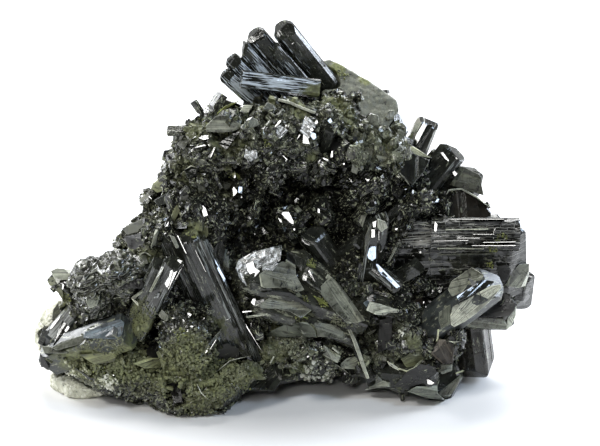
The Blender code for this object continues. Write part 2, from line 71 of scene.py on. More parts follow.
lamps = {
    # direction from the specimen (left-right, toward the viewer negative, up), size, radiance, colour
    "keyLamp": ((-0.45, -0.55, 0.75), 0.13, 34.0, (1.0, 0.99, 0.96)),
    "coolLamp": ((0.55, -0.45, 0.7), 0.12, 28.0, (0.66, 0.8, 1.0)),
    "backLamp": ((0.1, 0.75, 1.0), 0.5, 6.0, (1.0, 1.0, 1.0)),
    "overLamp": ((0.0, 0.1, 1.0), 0.12, 20.0, (1.0, 1.0, 1.0)),
    "rightLamp": ((0.85, 0.45, 0.45), 0.3, 14.0, (0.80, 0.88, 1.0)),
    "leftLamp": ((-0.85, 0.4, 0.5), 0.3, 16.0, (0.95, 0.97, 1.0)),
    "frontLamp": ((-0.15, -0.95, 0.5), 0.1, 22.0, (1.0, 0.99, 0.96)),
}
lampReach = 0.7  # metres from the specimen to each lamp


def cadSurfaces():
    # one tree of all the CAD faces in the reading frame, and the name that each face belongs to
    points, faces, owners = [], [], []
    for name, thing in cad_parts.items():
        first = len(points)
        points += [toReading @ vertex.co for vertex in thing.data.vertices]
        for polygon in thing.data.polygons:
            faces.append([first + i for i in polygon.vertices])
            owners.append(name)
    return BVHTree.FromPolygons(points, faces), owners


surfaces, owners = cadSurfaces()


def meets(point):
    # where the line of sight through a point first meets the cluster, the normal there and whose it is
    spot, normal, index, distance = surfaces.ray_cast(eye, (point - eye).normalized())
    return spot, normal, owners[index] if spot is not None else None


def coordinates(mesh):
    # the vertices of a mesh as an array
    co = np.empty(len(mesh.vertices) * 3)
    mesh.vertices.foreach_get("co", co)
    return co.reshape(-1, 3)


# The cluster's outline as seen from the eye, in x and z.
outline = (
    (-32.6, 4), (-30.6, 9), (-29.6, 11.5), (-30.4, 15.2), (-29.4, 16), (-27, 15),
    (-25.3, 16.8), (-22.4, 17.9), (-21.9, 21), (-19.6, 23.4), (-18.2, 25.6), (-17.4, 27),
    (-16, 28.4), (-15.4, 30.2), (-14.8, 32.4), (-13.2, 34.4), (-11.4, 35.4), (-10, 36),
    (-10, 38), (-6.4, 37.8), (-6, 39), (4.6, 39.6), (5.2, 42.4), (9, 40.4), (14.2, 37.6),
    (15.4, 35), (15.6, 32.4), (18.6, 30.2), (22.6, 29.4), (25.2, 27.4), (26.6, 23),
    (31.4, 20), (32.2, 11), (30, 7.4), (26.8, 6.8), (27.3, 1.4), (23.6, 0.8), (21.4, -2.8),
    (16, -1.6), (9, -1.2), (7.6, 0), (-0.4, 0.2), (-1.4, -1.4), (-6.2, -1), (-8, -4.2),
    (-13, -5), (-20, -2.8), (-26, 0.4), (-31.6, 1.8),
)


def inside(corners, x, z):
    # whether x, z lies within a closed row of corners
    crossings = 0
    for (x1, z1), (x2, z2) in zip(corners, corners[1:] + corners[:1]):
        if (z1 > z) != (z2 > z):
            crossings += x < x1 + (z - z1) / (z2 - z1) * (x2 - x1)
    return crossings % 2 == 1


def withinOutline(point):
    # whether a point lies within the cluster's outline, as seen from the eye
    place = ahead(point)
    return inside(outline, place.x, place.z)


# Olive dusting and moss-like epidote: x, z, radius, amount.
dustSpots = (
    (-26.5, 2.4, 3, 0.7), (-23, 3.4, 2.2, 0.8), (-20, 2.4, 3.2, 0.7), (-15.5, 1, 3.4, 0.7),
    (-11, -1.2, 4.2, 0.7), (-7.6, 0.6, 3.4, 0.6), (-4.4, 1.2, 2.4, 0.5), (-12.4, 4.4, 2.2, 0.8),
    (-14.4, 4, 1.6, 0.8), (-18.6, 8.8, 1.8, 0.9), (-28.8, 11, 1.2, 0.8), (-29.9, 14, 0.9, 0.8),
    (-22.2, 19.4, 2, 0.8), (-20.4, 22.4, 1.8, 0.8), (-18.8, 25.2, 1.6, 0.8), (-17.4, 27.8, 1.6, 0.8),
    (-15.8, 30.5, 1.8, 0.8), (-14.6, 33, 1.6, 0.8), (-11.6, 35.4, 1.2, 0.9), (-9, 35.2, 1, 0.8),
    (-6, 36.4, 1, 0.8), (-2.4, 37.2, 1.2, 0.8), (1.6, 37.4, 1.2, 0.7), (-11.6, 33.4, 1.2, 0.8),
    (-7, 33, 3.4, 0.45), (-12.5, 29, 3, 0.4), (-11.8, 20.8, 1, 1), (-7, 28.4, 0.8, 0.9),
    (6.4, 36.6, 1.8, 0.9), (4.4, 38.2, 1.2, 0.8), (8.2, 35.4, 1.4, 0.8), (6.6, 41.6, 1, 0.8),
    (10, 40.2, 0.9, 0.7), (1.8, 35.6, 1.2, 0.6), (3.2, 30.4, 0.8, 0.7), (12, 32, 3, 0.35),
    (16.2, 28.8, 0.9, 0.6), (14.4, 30.6, 0.7, 0.7), (10.4, 31.6, 1.2, 0.7), (2.2, 8.6, 1.1, 0.7),
    (-0.8, 7.4, 1.2, 0.7), (16.2, 5.6, 1.2, 0.8), (17.2, 3.2, 1, 0.7), (10, -0.6, 1.6, 0.5),
    (15, -0.6, 1.6, 0.4), (24.4, 0.8, 1.4, 0.5), (-30, 3, 1.4, 0.5), (-2, 4, 2, 0.5),
    (0.5, 1.5, 2.4, 0.6), (24.5, 26.8, 0.9, 0.4), (-17.5, 17, 1.6, 0.5), (-9, 9, 1.6, 0.4),
)
dustCentres = [(meets(Vector((x, 0.0, z)))[0], radius, amount) for x, z, radius, amount in dustSpots]


def dustAt(co, base=0.0):
    # how dusty each point is, from the spots near it
    amount = np.full(len(co), base)
    for spot, radius, strength in dustCentres:
        if spot is not None:
            near = np.linalg.norm(co - np.array(spot), axis=1) / radius
            amount = np.maximum(amount, strength * np.clip(1.6 - near, 0, 1))
    return amount


def setPoints(mesh, name, values):
    # one value for each vertex, which the materials read by its name
    layer = mesh.attributes.new(name, "FLOAT", "POINT")
    layer.data.foreach_set("value", values)


# Side faces of a prism: direction about its axis, and reach as a share of the full box.
habits = {
    "eight": ((90, 1), (270, 1), (0, 1), (180, 1), (50, 0.84), (230, 0.84), (130, 0.8), (310, 0.8)),
    "six": ((90, 1), (270, 1), (25, 0.93), (205, 0.93), (155, 0.9), (335, 0.9)),
    "lath": ((90, 1), (270, 1), (0, 1), (180, 1), (45, 0.86), (225, 0.9)),
    "four": ((90, 1), (270, 1), (12, 1), (192, 1)),
}

# End faces: lean away from the axis, direction of the lean, and where it meets the tip's level.
ends = {
    "flat": ((0, 0, 0),),
    "blunt": ((0, 0, 0), (42, 80, 0.3), (50, 200, 0.5), (38, 320, 0.6)),
    "roof": ((46, 90, 0.05), (50, 270, 0.0), (24, 5, 0.1)),
    "ridge": ((44, 90, 0.0), (48, 270, 0.0)),
    "chisel": ((30, 60, -0.8), (52, 240, 0.75), (40, 330, 0.5)),
    "slant": ((34, 180, -0.9), (45, 0, 0.75)),
    "broken": ((14, 30, -0.5), (30, 200, 0.0), (20, 290, 0.2)),
    "pitted": ((40, 20, -0.25), (30, 150, 0.1), (48, 200, 0.4)),
}


def crystal(tip, root, width, thick, turn=0.0, habit="eight", end="blunt", shine=None):
    # shine: how much of a side face is covered by light striae, painted reflections, by the side's direction;
    # "edge" is for the narrow chamfers between sides and "end" for the end faces
    return {"tip": tip, "root": root, "width": width, "thick": thick,
            "turn": turn, "habit": habit, "end": end, "shine": shine or {}}


def crystalAxes(spec):
    # root, axis, and the two cross directions; face looks at the eye before the turn
    tip, root = seen(spec["tip"]), seen(spec["root"])
    axis = (tip - root).normalized()
    toEye = eye - tip
    face = (toEye - axis * toEye.dot(axis)).normalized()
    face = Matrix.Rotation(math.radians(spec["turn"]), 3, axis) @ face
    return tip, root, axis, axis.cross(face), face


def endPlanes(spec, tip, axis, side, face):
    # a point and the outward way of each end face
    planes = []
    for lean, around, level in ends[spec["end"]]:
        across, out = math.cos(math.radians(around)), math.sin(math.radians(around))
        outward = side * across + face * out
        reach = level * (abs(across) * spec["width"] + abs(out) * spec["thick"]) / 2
        lean = math.radians(lean)
        planes.append((tip + outward * reach, axis * math.cos(lean) + outward * math.sin(lean)))
    return planes


def crossSection(habit, width, thick):
    # corners of the prism's outline about its axis, by clipping a large square
    corners = [Vector(c) * (width + thick) for c in ((-1, -1), (1, -1), (1, 1), (-1, 1))]
    for angle, share in habits[habit]:
        across, out = math.cos(math.radians(angle)), math.sin(math.radians(angle))
        normal = Vector((across, out))
        reach = share * (abs(across) * width + abs(out) * thick) / 2
        kept = []
        for a, b in zip(corners, corners[1:] + corners[:1]):
            da, db = a.dot(normal) - reach, b.dot(normal) - reach
            if da <= 0:
                kept.append(a)
            if (da < 0 < db) or (db < 0 < da):
                kept.append(a.lerp(b, da / (da - db)))
        corners = kept
    return corners


# half the gap between two striae, and half the length of the step where one changes
seam, stepHalf = 0.012, 0.03


def striaeColumns(rng, corners, striae):
    # the outline cut in strips: each column's point, outward way and strip, and each strip's depth limit
    points, outward, strips, limits = [], [], [], []
    for a, b in zip(corners, corners[1:] + corners[:1]):
        length = (b - a).length
        along = (b - a).normalized()
        normal = Vector((along.y, -along.x))
        cut = min(striae["chamfer"], length * 0.2)
        at = cut
        first = len(limits)
        while at < length - cut - 0.02:
            width = min(rng.uniform(*striae["width"]), length - cut - at)
            if length - cut - at - width < striae["width"][0] * 0.6:
                width = length - cut - at
            for t in (at + seam, at + width - seam):
                points.append(a + along * t)
                outward.append(normal)
                strips.append(len(limits))
            limits.append(striae["step"])
            at += width
        limits[first] = limits[-1] = min(striae["step"], cut * 0.4)  # or corners would cross
    return points, outward, strips, limits


def select(thing):
    # this thing alone is selected and active
    bpy.ops.object.select_all(action="DESELECT")
    thing.select_set(True)
    bpy.context.view_layer.objects.active = thing


def cutAway(planes):
    # in edit mode: everything outside each plane goes, and one flat face closes the cut
    for point, normal in planes:
        bpy.ops.mesh.select_all(action="SELECT")
        bpy.ops.mesh.bisect(plane_co=point, plane_no=normal, clear_outer=True, threshold=1e-5)
        if bpy.context.object.data.total_edge_sel:
            bpy.ops.mesh.edge_face_add()


def support(thing, way, inset):
    # the plane square to a direction, a little inside the outermost vertex
    reach = (coordinates(thing.data) @ np.array(way)).max()
    return way * (reach - inset), way


def setMode(mode):
    # into or out of edit mode, with everything selected
    bpy.ops.object.mode_set(mode=mode)
    if mode == "EDIT":
        bpy.ops.mesh.select_all(action="SELECT")


def overFloor(thing):
    # the cut that keeps a shape above the floor, where it needs one
    low = coordinates(thing.data)[:, 2].min() < 0
    return [(Vector((0, 0, floorGap)), Vector((0, 0, -1)))] if low else []


def striatedPrism(rng, spec, striae, ground=True):
    # a disc drawn to the stepped outline, extruded row by row along the axis, its end cut by planes
    tip, root, axis, side, face = crystalAxes(spec)
    corners = crossSection(spec["habit"], spec["width"], spec["thick"])
    points, outward, strips, limits = striaeColumns(rng, corners, striae)
    length = (tip - root).length + spec["width"] * 0.6
    breaks = [0.0]
    while breaks[-1] < length:
        breaks.append(breaks[-1] + rng.uniform(*striae["run"]))
    rows = [0.0] + [at + gap for at in breaks[1:-1] for gap in (-stepHalf, stepHalf)] + [length]
    count = len(points)
    bpy.ops.mesh.primitive_circle_add(vertices=count, radius=1, fill_type="NGON")
    prism = bpy.context.object
    setMode("EDIT")
    for _ in rows[1:]:
        bpy.ops.mesh.extrude_region_move(TRANSFORM_OT_translate={"value": (0, 0, 1)})
    setMode("OBJECT")

    # depth of each strip in each row: steps that change where a stria ends, and a tilt across
    depth = [rng.choice((0.0, 0.0, 0.5, 1.0)) * limit for limit in limits]
    tilt = [rng.uniform(-1, 1) * striae["tilt"] for _ in limits]
    table = []
    for number, at in enumerate(rows):
        if number % 2 == 0 and number:
            for strip, limit in enumerate(limits):
                if rng.random() < striae["change"]:
                    depth[strip] = rng.choice((0.0, 0.5, 1.0, 1.0)) * limit
                    tilt[strip] = rng.uniform(-1, 1) * striae["tilt"]
        swell = 1 + rng.uniform(-1, 1) * striae["swell"]
        ring = []
        for column in range(count):
            strip = strips[column]
            first = column == 0 or strips[column - 1] != strip
            inward = min(depth[strip] + (tilt[strip] if first else -tilt[strip]), limits[strip])
            flat = points[column] * swell - outward[column] * max(0.0, inward)
            ring.append(root + axis * at + side * flat.x + face * flat.y)
        table.append(ring)
    table = np.array(table)
    co = coordinates(prism.data)
    column = np.round(np.arctan2(co[:, 1], co[:, 0]) / math.tau * count).astype(int) % count
    row = np.round(co[:, 2]).astype(int)
    prism.data.vertices.foreach_set("co", table[row, column].ravel())

    setMode("EDIT")
    bpy.ops.mesh.normals_make_consistent(inside=False)
    planes = endPlanes(spec, tip, axis, side, face)
    cutAway(planes)
    setMode("OBJECT")
    # narrow chamfers where the end faces meet the sides, and a few chips
    ways = []
    for _, normal in planes:
        for angle, _ in habits[spec["habit"]]:
            across, out = math.cos(math.radians(angle)), math.sin(math.radians(angle))
            ways.append((normal * 1.1 + side * across + face * out).normalized())
    rims = [support(prism, way, striae["chamfer"] * 0.5) for way in ways]
    for _ in range(striae["chips"]):
        angle = rng.uniform(0, math.tau)
        way = axis * rng.uniform(0.2, 1.2) + side * math.cos(angle) + face * math.sin(angle)
        rims.append(support(prism, way.normalized(), rng.uniform(0.1, 0.35)))
    setMode("EDIT")
    cutAway(rims + (overFloor(prism) if ground else []))
    setMode("OBJECT")
    unwrap(prism, root, axis, side, face)
    if spec["shine"]:
        addShine(prism.data, spec, axis, side, face)
    return prism


def addShine(mesh, spec, axis, side, face):
    # how much of each face is covered by light striae, painted reflections
    layer = mesh.attributes.new("shine", "FLOAT", "FACE")
    for polygon in mesh.polygons:
        normal = polygon.normal
        angle = math.degrees(math.atan2(normal.dot(face), normal.dot(side)))
        off, nearest = min((abs((angle - at + 180) % 360 - 180), at) for at, _ in habits[spec["habit"]])
        kind = "end" if normal.dot(axis) > 0.3 else nearest if off < 15 else "edge"
        layer.data[polygon.index].value = spec["shine"].get(kind, 0.0)


def unwrap(prism, root, axis, side, face):
    # u runs round the prism and v along it, in millimetres; end faces lie flat
    mesh = prism.data
    layer = mesh.uv_layers.new(name="skin")
    radius = 1.5  # of the round that stands for every prism's sides
    uv = np.zeros((len(mesh.loops), 2))
    for polygon in mesh.polygons:
        middle = polygon.center - root
        base = math.atan2(middle.dot(face), middle.dot(side))
        for loop in polygon.loop_indices:
            spot = mesh.vertices[mesh.loops[loop].vertex_index].co - root
            if polygon.normal.dot(axis) > 0.3:
                uv[loop] = spot.dot(side), spot.dot(face)
                continue
            angle = math.atan2(spot.dot(face), spot.dot(side))
            angle = base + (angle - base + math.pi) % math.tau - math.pi
            uv[loop] = angle * radius, spot.dot(axis)
    layer.data.foreach_set("uv", uv.ravel())


def ridgedPlate(rng, spec, ridges):
    # a block with this outline as seen from the eye, its front broken in ridges
    facing = Vector(spec["facing"]).normalized()
    corners = [seen((x, z, 0.0)) for x, z in spec["outline"]]
    middle = spec["at"]
    rings = []
    for behind in (0.0, spec["depth"]):
        flat = middle - facing * behind
        rings.append([eye + (c - eye) * ((flat - eye).dot(facing) / (c - eye).dot(facing)) for c in corners])
    bpy.ops.mesh.primitive_circle_add(vertices=len(corners), radius=1, fill_type="NGON")
    block = bpy.context.object
    setMode("EDIT")
    bpy.ops.mesh.extrude_region_move(TRANSFORM_OT_translate={"value": (0, 0, 1)})
    setMode("OBJECT")
    co = coordinates(block.data)
    number = np.round(np.arctan2(co[:, 1], co[:, 0]) / math.tau * len(corners)).astype(int) % len(corners)
    layer = np.round(co[:, 2]).astype(int)
    block.data.vertices.foreach_set("co", np.array(rings)[layer, number].ravel())
    setMode("EDIT")
    bpy.ops.mesh.normals_make_consistent(inside=False)
    bpy.ops.mesh.bevel(offset=ridges["bevel"], segments=1, affect="EDGES", clamp_overlap=True)
    across = Vector(ridges["across"]).normalized()
    reach = max(abs((c - middle).dot(across)) for c in corners)
    at, cuts = -reach + ridges["gap"], []
    while at < reach - 0.1:
        cuts.append(at)
        bpy.ops.mesh.select_all(action="SELECT")
        bpy.ops.mesh.bisect(plane_co=middle + across * at, plane_no=across)
        at += ridges["gap"] * rng.uniform(0.6, 1.5)
    setMode("OBJECT")
    for vertex in block.data.vertices:
        off = vertex.co - middle
        for number, at in enumerate(cuts):
            if abs(off.dot(across) - at) < 1e-3 and off.dot(facing) > -ridges["bevel"] * 1.2:
                vertex.co -= facing * ridges["step"] * ((number * 37) % 10) / 10
    rims = []
    for _ in range(ridges["chips"]):
        way = facing * rng.uniform(0.2, 1) + Vector((rng.uniform(-1, 1), 0, rng.uniform(-1, 1)))
        rims.append(support(block, way.normalized(), rng.uniform(0.2, 0.6)))
    setMode("EDIT")
    cutAway(rims + overFloor(block))
    setMode("OBJECT")
    along = across.cross(facing)
    unwrap(block, middle - along * 5, along, across, facing)
    return block


def takeShape(thing):
    # a finished shape as arrays; the object itself goes
    mesh = thing.data
    uv = np.empty(len(mesh.loops) * 2)
    mesh.uv_layers["skin"].data.foreach_get("uv", uv)
    shape = coordinates(mesh), uv.reshape(-1, 2), [tuple(p.vertices) for p in mesh.polygons]
    bpy.data.objects.remove(thing)
    return shape


def joinCopies(name, shapes, copies):
    # one mesh of many placed copies; each copy is shape number, 3 x 4 matrix, size and tone
    points, faces, uvs, tones, first = [], [], [], [], 0
    for number, matrix, size, tone in copies:
        co, uv, polygons = shapes[number]
        points.append(co @ matrix[:, :3].T + matrix[:, 3])
        faces += [[first + i for i in polygon] for polygon in polygons]
        uvs.append(uv * size + tone * 40)  # the shift gives each copy a pattern of its own
        tones.append(np.full(len(co), tone))
        first += len(co)
    mesh = bpy.data.meshes.new(name)
    points = np.concatenate(points)
    points[:, 2] = np.maximum(points[:, 2], floorGap)
    mesh.from_pydata(points, [], faces)
    mesh.uv_layers.new(name="skin").data.foreach_set("uv", np.concatenate(uvs).ravel())
    setPoints(mesh, "tone", np.concatenate(tones))
    piece = bpy.data.objects.new(name, mesh)
    bpy.context.scene.collection.objects.link(piece)
    return piece


def patch(x, z, radius, count, width, lean=None, face=None, wobble=0.4, stand=(0.2, 0.9),
          thick=(0.7, 1.0), tone=(0.0, 0.4), on="crystal_mass"):
    # a group of small crystals round a place: lean is where they point, face where a side face looks
    return {"place": (x, z), "radius": radius, "count": count, "width": width, "lean": lean,
            "face": face, "wobble": wobble, "stand": stand, "thick": thick, "tone": tone, "on": on}


def stray(rng, amount):
    # a random way and length
    return Vector([rng.gauss(0, 1) for _ in range(3)]) * amount


def standing(rng, settings, spot, normal):
    # the matrix of one crystal that stands on the surface at a spot
    lean = Vector(settings["lean"]).normalized() * 1.2 if settings["lean"] else Vector()
    axis = (normal * (0.4 if settings["lean"] else 1.0) + lean + stray(rng, settings["wobble"])).normalized()
    if settings["face"]:
        face = Vector(settings["face"]).normalized() + stray(rng, settings["wobble"] * 0.25)
    else:
        face = stray(rng, 1.0)
    face = (face - axis * face.dot(axis)).normalized()
    side = axis.cross(face)
    width = rng.uniform(*settings["width"])
    thick = width * rng.uniform(*settings["thick"])
    tip = spot + axis * width * rng.uniform(*settings["stand"])
    # the shapes stand along z with their main face looking to -y
    matrix = np.array([side * width, -face * thick, axis * width, tip]).T
    return matrix, width, tip, side


def hidesPrism(point, on):
    # whether a point lies in front of another solid than the one that its crystal stands on
    spot, _, owner = meets(point)
    return spot is not None and owner != on and (point - eye).length < (spot - eye).length


def stands(tip, side, width, on):
    # whether a crystal stays within the outline and off the prisms and plates
    corners = [tip, tip + side * width * 0.5, tip - side * width * 0.5]
    if not all(withinOutline(corner) for corner in corners):
        return False
    return not any(hidesPrism(corner, on) for corner in corners) and clearOfPlates(tip)


def frontCrystals(rng, patches, kinds):
    # crystals on the surface that the eye sees, patch by patch
    copies = []
    for settings in patches:
        x, z = settings["place"]
        made, tries = 0, 0
        while made < settings["count"] and tries < settings["count"] * 4:
            tries += 1
            out, turn = settings["radius"] * math.sqrt(rng.random()), rng.uniform(0, math.tau)
            spot, normal, owner = meets(Vector((x + out * math.cos(turn), 0.0, z + out * math.sin(turn))))
            if owner != settings["on"]:
                continue
            matrix, width, tip, side = standing(rng, settings, spot, normal)
            if tip.z < width or not stands(tip, side, width, owner):
                continue
            copies.append((rng.randrange(kinds), matrix, width, rng.uniform(*settings["tone"])))
            made += 1
    return copies


def bodyCrystals(rng, mesh, settings, kinds):
    # crystals all over a body, by area
    area = np.array([polygon.area for polygon in mesh.polygons])
    picks = np.random.default_rng(5).choice(len(area), settings["count"], p=area / area.sum())
    copies = []
    for index in picks:
        polygon = mesh.polygons[int(index)]
        matrix, width, tip, side = standing(rng, settings, polygon.center, polygon.normal)
        place = ahead(tip)
        calm = any(math.dist((place.x, place.z), (x, z)) < radius for x, z, radius, _ in massForm["calm"])
        if tip.z >= width * 1.5 and not calm and stands(tip, side, width, settings["on"]):
            copies.append((rng.randrange(kinds), matrix, width, rng.uniform(*settings["tone"])))
    return copies


def joinUp(things, name):
    # several objects as one
    bpy.ops.object.select_all(action="DESELECT")
    for thing in things:
        thing.select_set(True)
    bpy.context.view_layer.objects.active = things[0]
    if len(things) > 1:
        bpy.ops.object.join()
    things[0].name = name
    things[0].data.name = name
    return things[0]


def settle(piece, skin, replaced=(), dust=0.0):
    # to metres in the part's frame, with the object itself at the origin
    setPoints(piece.data, "olive", dustAt(coordinates(piece.data), dust))
    piece.data.transform(toPart)
    piece.data.update()
    piece.data.materials.clear()
    piece.data.materials.append(skin)
    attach(piece, "root")
    if replaced:
        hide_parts(*replaced)
    bpy.ops.object.select_all(action="DESELECT")
    return piece


# Materials

def addNode(tree, kind, inputs=None, **settings):
    made = tree.nodes.new("ShaderNode" + kind)
    for key, value in settings.items():
        setattr(made, key, value)
    for key, value in (inputs or {}).items():
        if isinstance(value, bpy.types.NodeSocket):
            tree.links.new(value, made.inputs[key])
        else:
            made.inputs[key].default_value = value
    return made


def newSkin(name, ior):
    # a material, its nodes, its surface, and the place on the piece in millimetres
    skin = bpy.data.materials.new(name)
    skin.use_nodes = True
    tree = skin.node_tree
    surface = tree.nodes["Principled BSDF"]
    surface.inputs["IOR"].default_value = ior
    place = addNode(tree, "TexCoord").outputs["Object"]
    inMm = addNode(tree, "VectorMath", {0: place, 1: (1000, 1000, 1000)}, operation="MULTIPLY").outputs[0]
    return skin, tree, surface, inMm


def ramp(tree, factor, low, high, start=0.0, end=1.0):
    # a factor stretched from start..end to low..high
    return addNode(tree, "MapRange", {"Value": factor, "From Min": start, "From Max": end,
                                      "To Min": low, "To Max": high}).outputs["Result"]


def calculate(tree, operation, *values):
    return addNode(tree, "Math", dict(enumerate(values)), operation=operation).outputs[0]


def noise(tree, vector, scale, detail, rough=0.5):
    settings = {"Vector": vector, "Scale": scale, "Detail": detail, "Roughness": rough}
    return addNode(tree, "TexNoise", settings).outputs["Fac"]


def scaled(tree, uv, scale):
    return addNode(tree, "Mapping", {"Vector": uv, "Scale": scale}).outputs[0]


def attribute(tree, name):
    return addNode(tree, "Attribute", attribute_name=name).outputs["Fac"]


def skinMap(tree):
    return addNode(tree, "UVMap", uv_map="skin").outputs[0]


def bump(tree, height, strength, distance, before):
    return addNode(tree, "Bump", {"Height": height, "Strength": strength, "Distance": distance,
                                  "Normal": before}).outputs[0]


def finishSkin(tree, surface, colour, rough, relief):
    tree.links.new(colour, surface.inputs["Base Color"])
    tree.links.new(rough, surface.inputs["Roughness"])
    tree.links.new(relief, surface.inputs["Normal"])


def blendColour(tree, factor, a, b):
    mix = addNode(tree, "Mix", data_type="RGBA")
    for number, value in ((0, factor), (6, a), (7, b)):
        if isinstance(value, bpy.types.NodeSocket):
            tree.links.new(value, mix.inputs[number])
        else:
            mix.inputs[number].default_value = value if number == 0 else (*value, 1.0)
    return mix.outputs[2]


def addFacets(tree, inMm, perMm, tilt, before=None, strength=1.0):
    # each cell of a Voronoi pattern leans its own way, as small crystal faces do
    cells = addNode(tree, "TexVoronoi", {"Vector": inMm, "Scale": perMm})
    off = addNode(tree, "VectorMath", {0: inMm, 1: cells.outputs["Position"]}, operation="SUBTRACT")
    lean = addNode(tree, "VectorMath", {0: cells.outputs["Color"], 1: (2, 2, 2), 2: (-1, -1, -1)},
                   operation="MULTIPLY_ADD")
    height = addNode(tree, "VectorMath", {0: off.outputs[0], 1: lean.outputs[0]}, operation="DOT_PRODUCT")
    inputs = {"Height": height.outputs["Value"], "Strength": strength, "Distance": mm * tilt}
    if before is not None:
        inputs["Normal"] = before
    return addNode(tree, "Bump", inputs).outputs[0]


def addFlecks(tree, vector, colour, flecks, pits, light):
    # fine light flecks, painted glints, and dark pits, painted shade, over a colour; flecks and pits say
    # from where they cover
    fine = noise(tree, vector, 1.0, 4.0, 0.75)
    # dark pits: painted shade
    colour = blendColour(tree, ramp(tree, fine, 1, 0, pits - 0.05, pits), colour, (0.006, 0.006, 0.005))
    # light flecks: painted glints
    return blendColour(tree, ramp(tree, fine, 0, 1, flecks, flecks + 0.03), colour, light)


def streaks(tree, uv, look):
    # painted reflections: light striae along the crystal, and light joints of brick-like striae; "shine" says
    # how many
    along = scaled(tree, uv, (look["streaks"], 0.3, 1))
    share = calculate(tree, "MULTIPLY_ADD", attribute(tree, "shine"), 0.34, -0.74)
    light = calculate(tree, "ADD", noise(tree, along, 1.0, 2.0, 0.7), share)
    light = ramp(tree, light, 0, 1, 0.0, 0.05)
    if look["bricks"]:
        parts = addNode(tree, "SeparateXYZ", {0: uv})
        wander = noise(tree, uv, 0.7, 3.0)
        across = calculate(tree, "MULTIPLY_ADD", wander, 0.5, parts.outputs["X"])
        turned = addNode(tree, "CombineXYZ", {"X": parts.outputs["Y"], "Y": across}).outputs[0]
        bricks = addNode(tree, "TexBrick", {"Vector": turned, "Scale": 1.0, "Mortar Size": 0.035,
                                            "Mortar Smooth": 0.3, "Brick Width": 1.7, "Row Height": 0.34})
        gaps = calculate(tree, "ADD", noise(tree, along, 0.5, 2.0), share)
        joints = calculate(tree, "MULTIPLY", bricks.outputs["Fac"], ramp(tree, gaps, 0, 1, -0.22, 0.0))
        light = calculate(tree, "MAXIMUM", light, joints)
    return light


def crystalSkin(name, look):
    # near black green glass: fine striae, light streaks of painted reflection, flecks and pits of painted
    # glints and shade, and olive dusting in places
    skin, tree, surface, inMm = newSkin(name, look["ior"])
    uv = skinMap(tree)
    striae = noise(tree, scaled(tree, uv, (look["striae"], look["striae"] * 0.05, 1)), 1.0, 3.0, 0.6)
    cloud = noise(tree, inMm, look["cloud"], 4.0, 0.6)
    grit = noise(tree, inMm, look["grit"], 2.0)
    deep = blendColour(tree, ramp(tree, cloud, 0, 1, 0.35, 0.7), look["dark"], look["light"])
    tone = ramp(tree, attribute(tree, "tone"), 0, 1, look["darkShare"], 1)
    deep = blendColour(tree, tone, deep, look["toned"])
    short = scaled(tree, uv, look["fleckSize"])
    # painted glints and pit shade
    deep = addFlecks(tree, short, deep, look["flecks"], look["pits"], look["fleck"])
    # light streaks painted over the colour stand in for reflections along the striae
    colour = blendColour(tree, streaks(tree, uv, look), deep, look["streak"])
    spread = calculate(tree, "MULTIPLY", ramp(tree, grit, 0, 1, 0.3, 0.7), ramp(tree, cloud, 0, 1, 0.3, 0.7))
    dusty = calculate(tree, "MULTIPLY", attribute(tree, "olive"), 1.2)
    dusty = ramp(tree, calculate(tree, "SUBTRACT", dusty, spread), 0, 1, 0.1, 0.4)
    dust = blendColour(tree, ramp(tree, grit, 0, 1, 0.4, 0.6), look["dustDark"], look["dustLight"])
    gloss = ramp(tree, cloud, *look["gloss"], 0.35, 0.75)
    rough = addNode(tree, "Mix", {0: dusty, 2: gloss, 3: 0.6}).outputs[0]
    relief = bump(tree, striae, look["bump"][0], 0.08 * mm, addFacets(tree, inMm, *look["facets"]))
    relief = bump(tree, grit, look["bump"][1], 0.04 * mm, relief)
    finishSkin(tree, surface, blendColour(tree, dusty, colour, dust), rough, relief)
    return skin


glass = {
    "ior": 1.62, "striae": 4.0, "cloud": 0.5, "grit": 2.0,
    "dark": (0.012, 0.013, 0.010), "light": (0.030, 0.032, 0.025), "toned": (0.055, 0.056, 0.040),
    "dustDark": (0.085, 0.092, 0.042), "dustLight": (0.20, 0.215, 0.095),
    "fleck": (0.19, 0.20, 0.15), "flecks": 0.60, "pits": 0.44, "fleckSize": (2.0, 0.4, 1),
    "darkShare": 0.0, "streak": (0.26, 0.28, 0.27), "streaks": 5.0, "bricks": False, "facets": (0.7, 0.04),
    "gloss": (0.04, 0.16), "bump": (0.6, 0.1),
}
# the fan's bright streaks of painted reflection, the bundle's brick-like striae, the druse, dull and satin
# prisms, brown ones
fanGlass = dict(glass, streak=(0.60, 0.67, 0.74), streaks=4.6, facets=(0.5, 0.05))
brickGlass = dict(glass, dark=(0.006, 0.006, 0.005), light=(0.020, 0.021, 0.016), facets=(1.4, 0.12),
                  streak=(0.34, 0.34, 0.31), streaks=6.0, bricks=True)
druseGlass = dict(glass, dark=(0.007, 0.007, 0.006), light=(0.020, 0.021, 0.016), facets=(1.6, 0.16),
                  toned=(0.125, 0.132, 0.090), darkShare=0.4,
                  fleck=(0.40, 0.42, 0.29), flecks=0.56, pits=0.47, fleckSize=(1.7, 1.1, 1))
dullGlass = dict(glass, dark=(0.018, 0.019, 0.014), light=(0.05, 0.052, 0.038), gloss=(0.1, 0.35),
                 facets=(0.8, 0.1), fleck=(0.28, 0.29, 0.21), flecks=0.57, fleckSize=(2.0, 0.5, 1))
satinGlass = dict(dullGlass, dark=(0.018, 0.022, 0.022), light=(0.050, 0.058, 0.057),
                  gloss=(0.35, 0.5), facets=(0.8, 0.04))
brownGlass = dict(glass, dark=(0.012, 0.010, 0.007), light=(0.030, 0.026, 0.018), gloss=(0.15, 0.35))
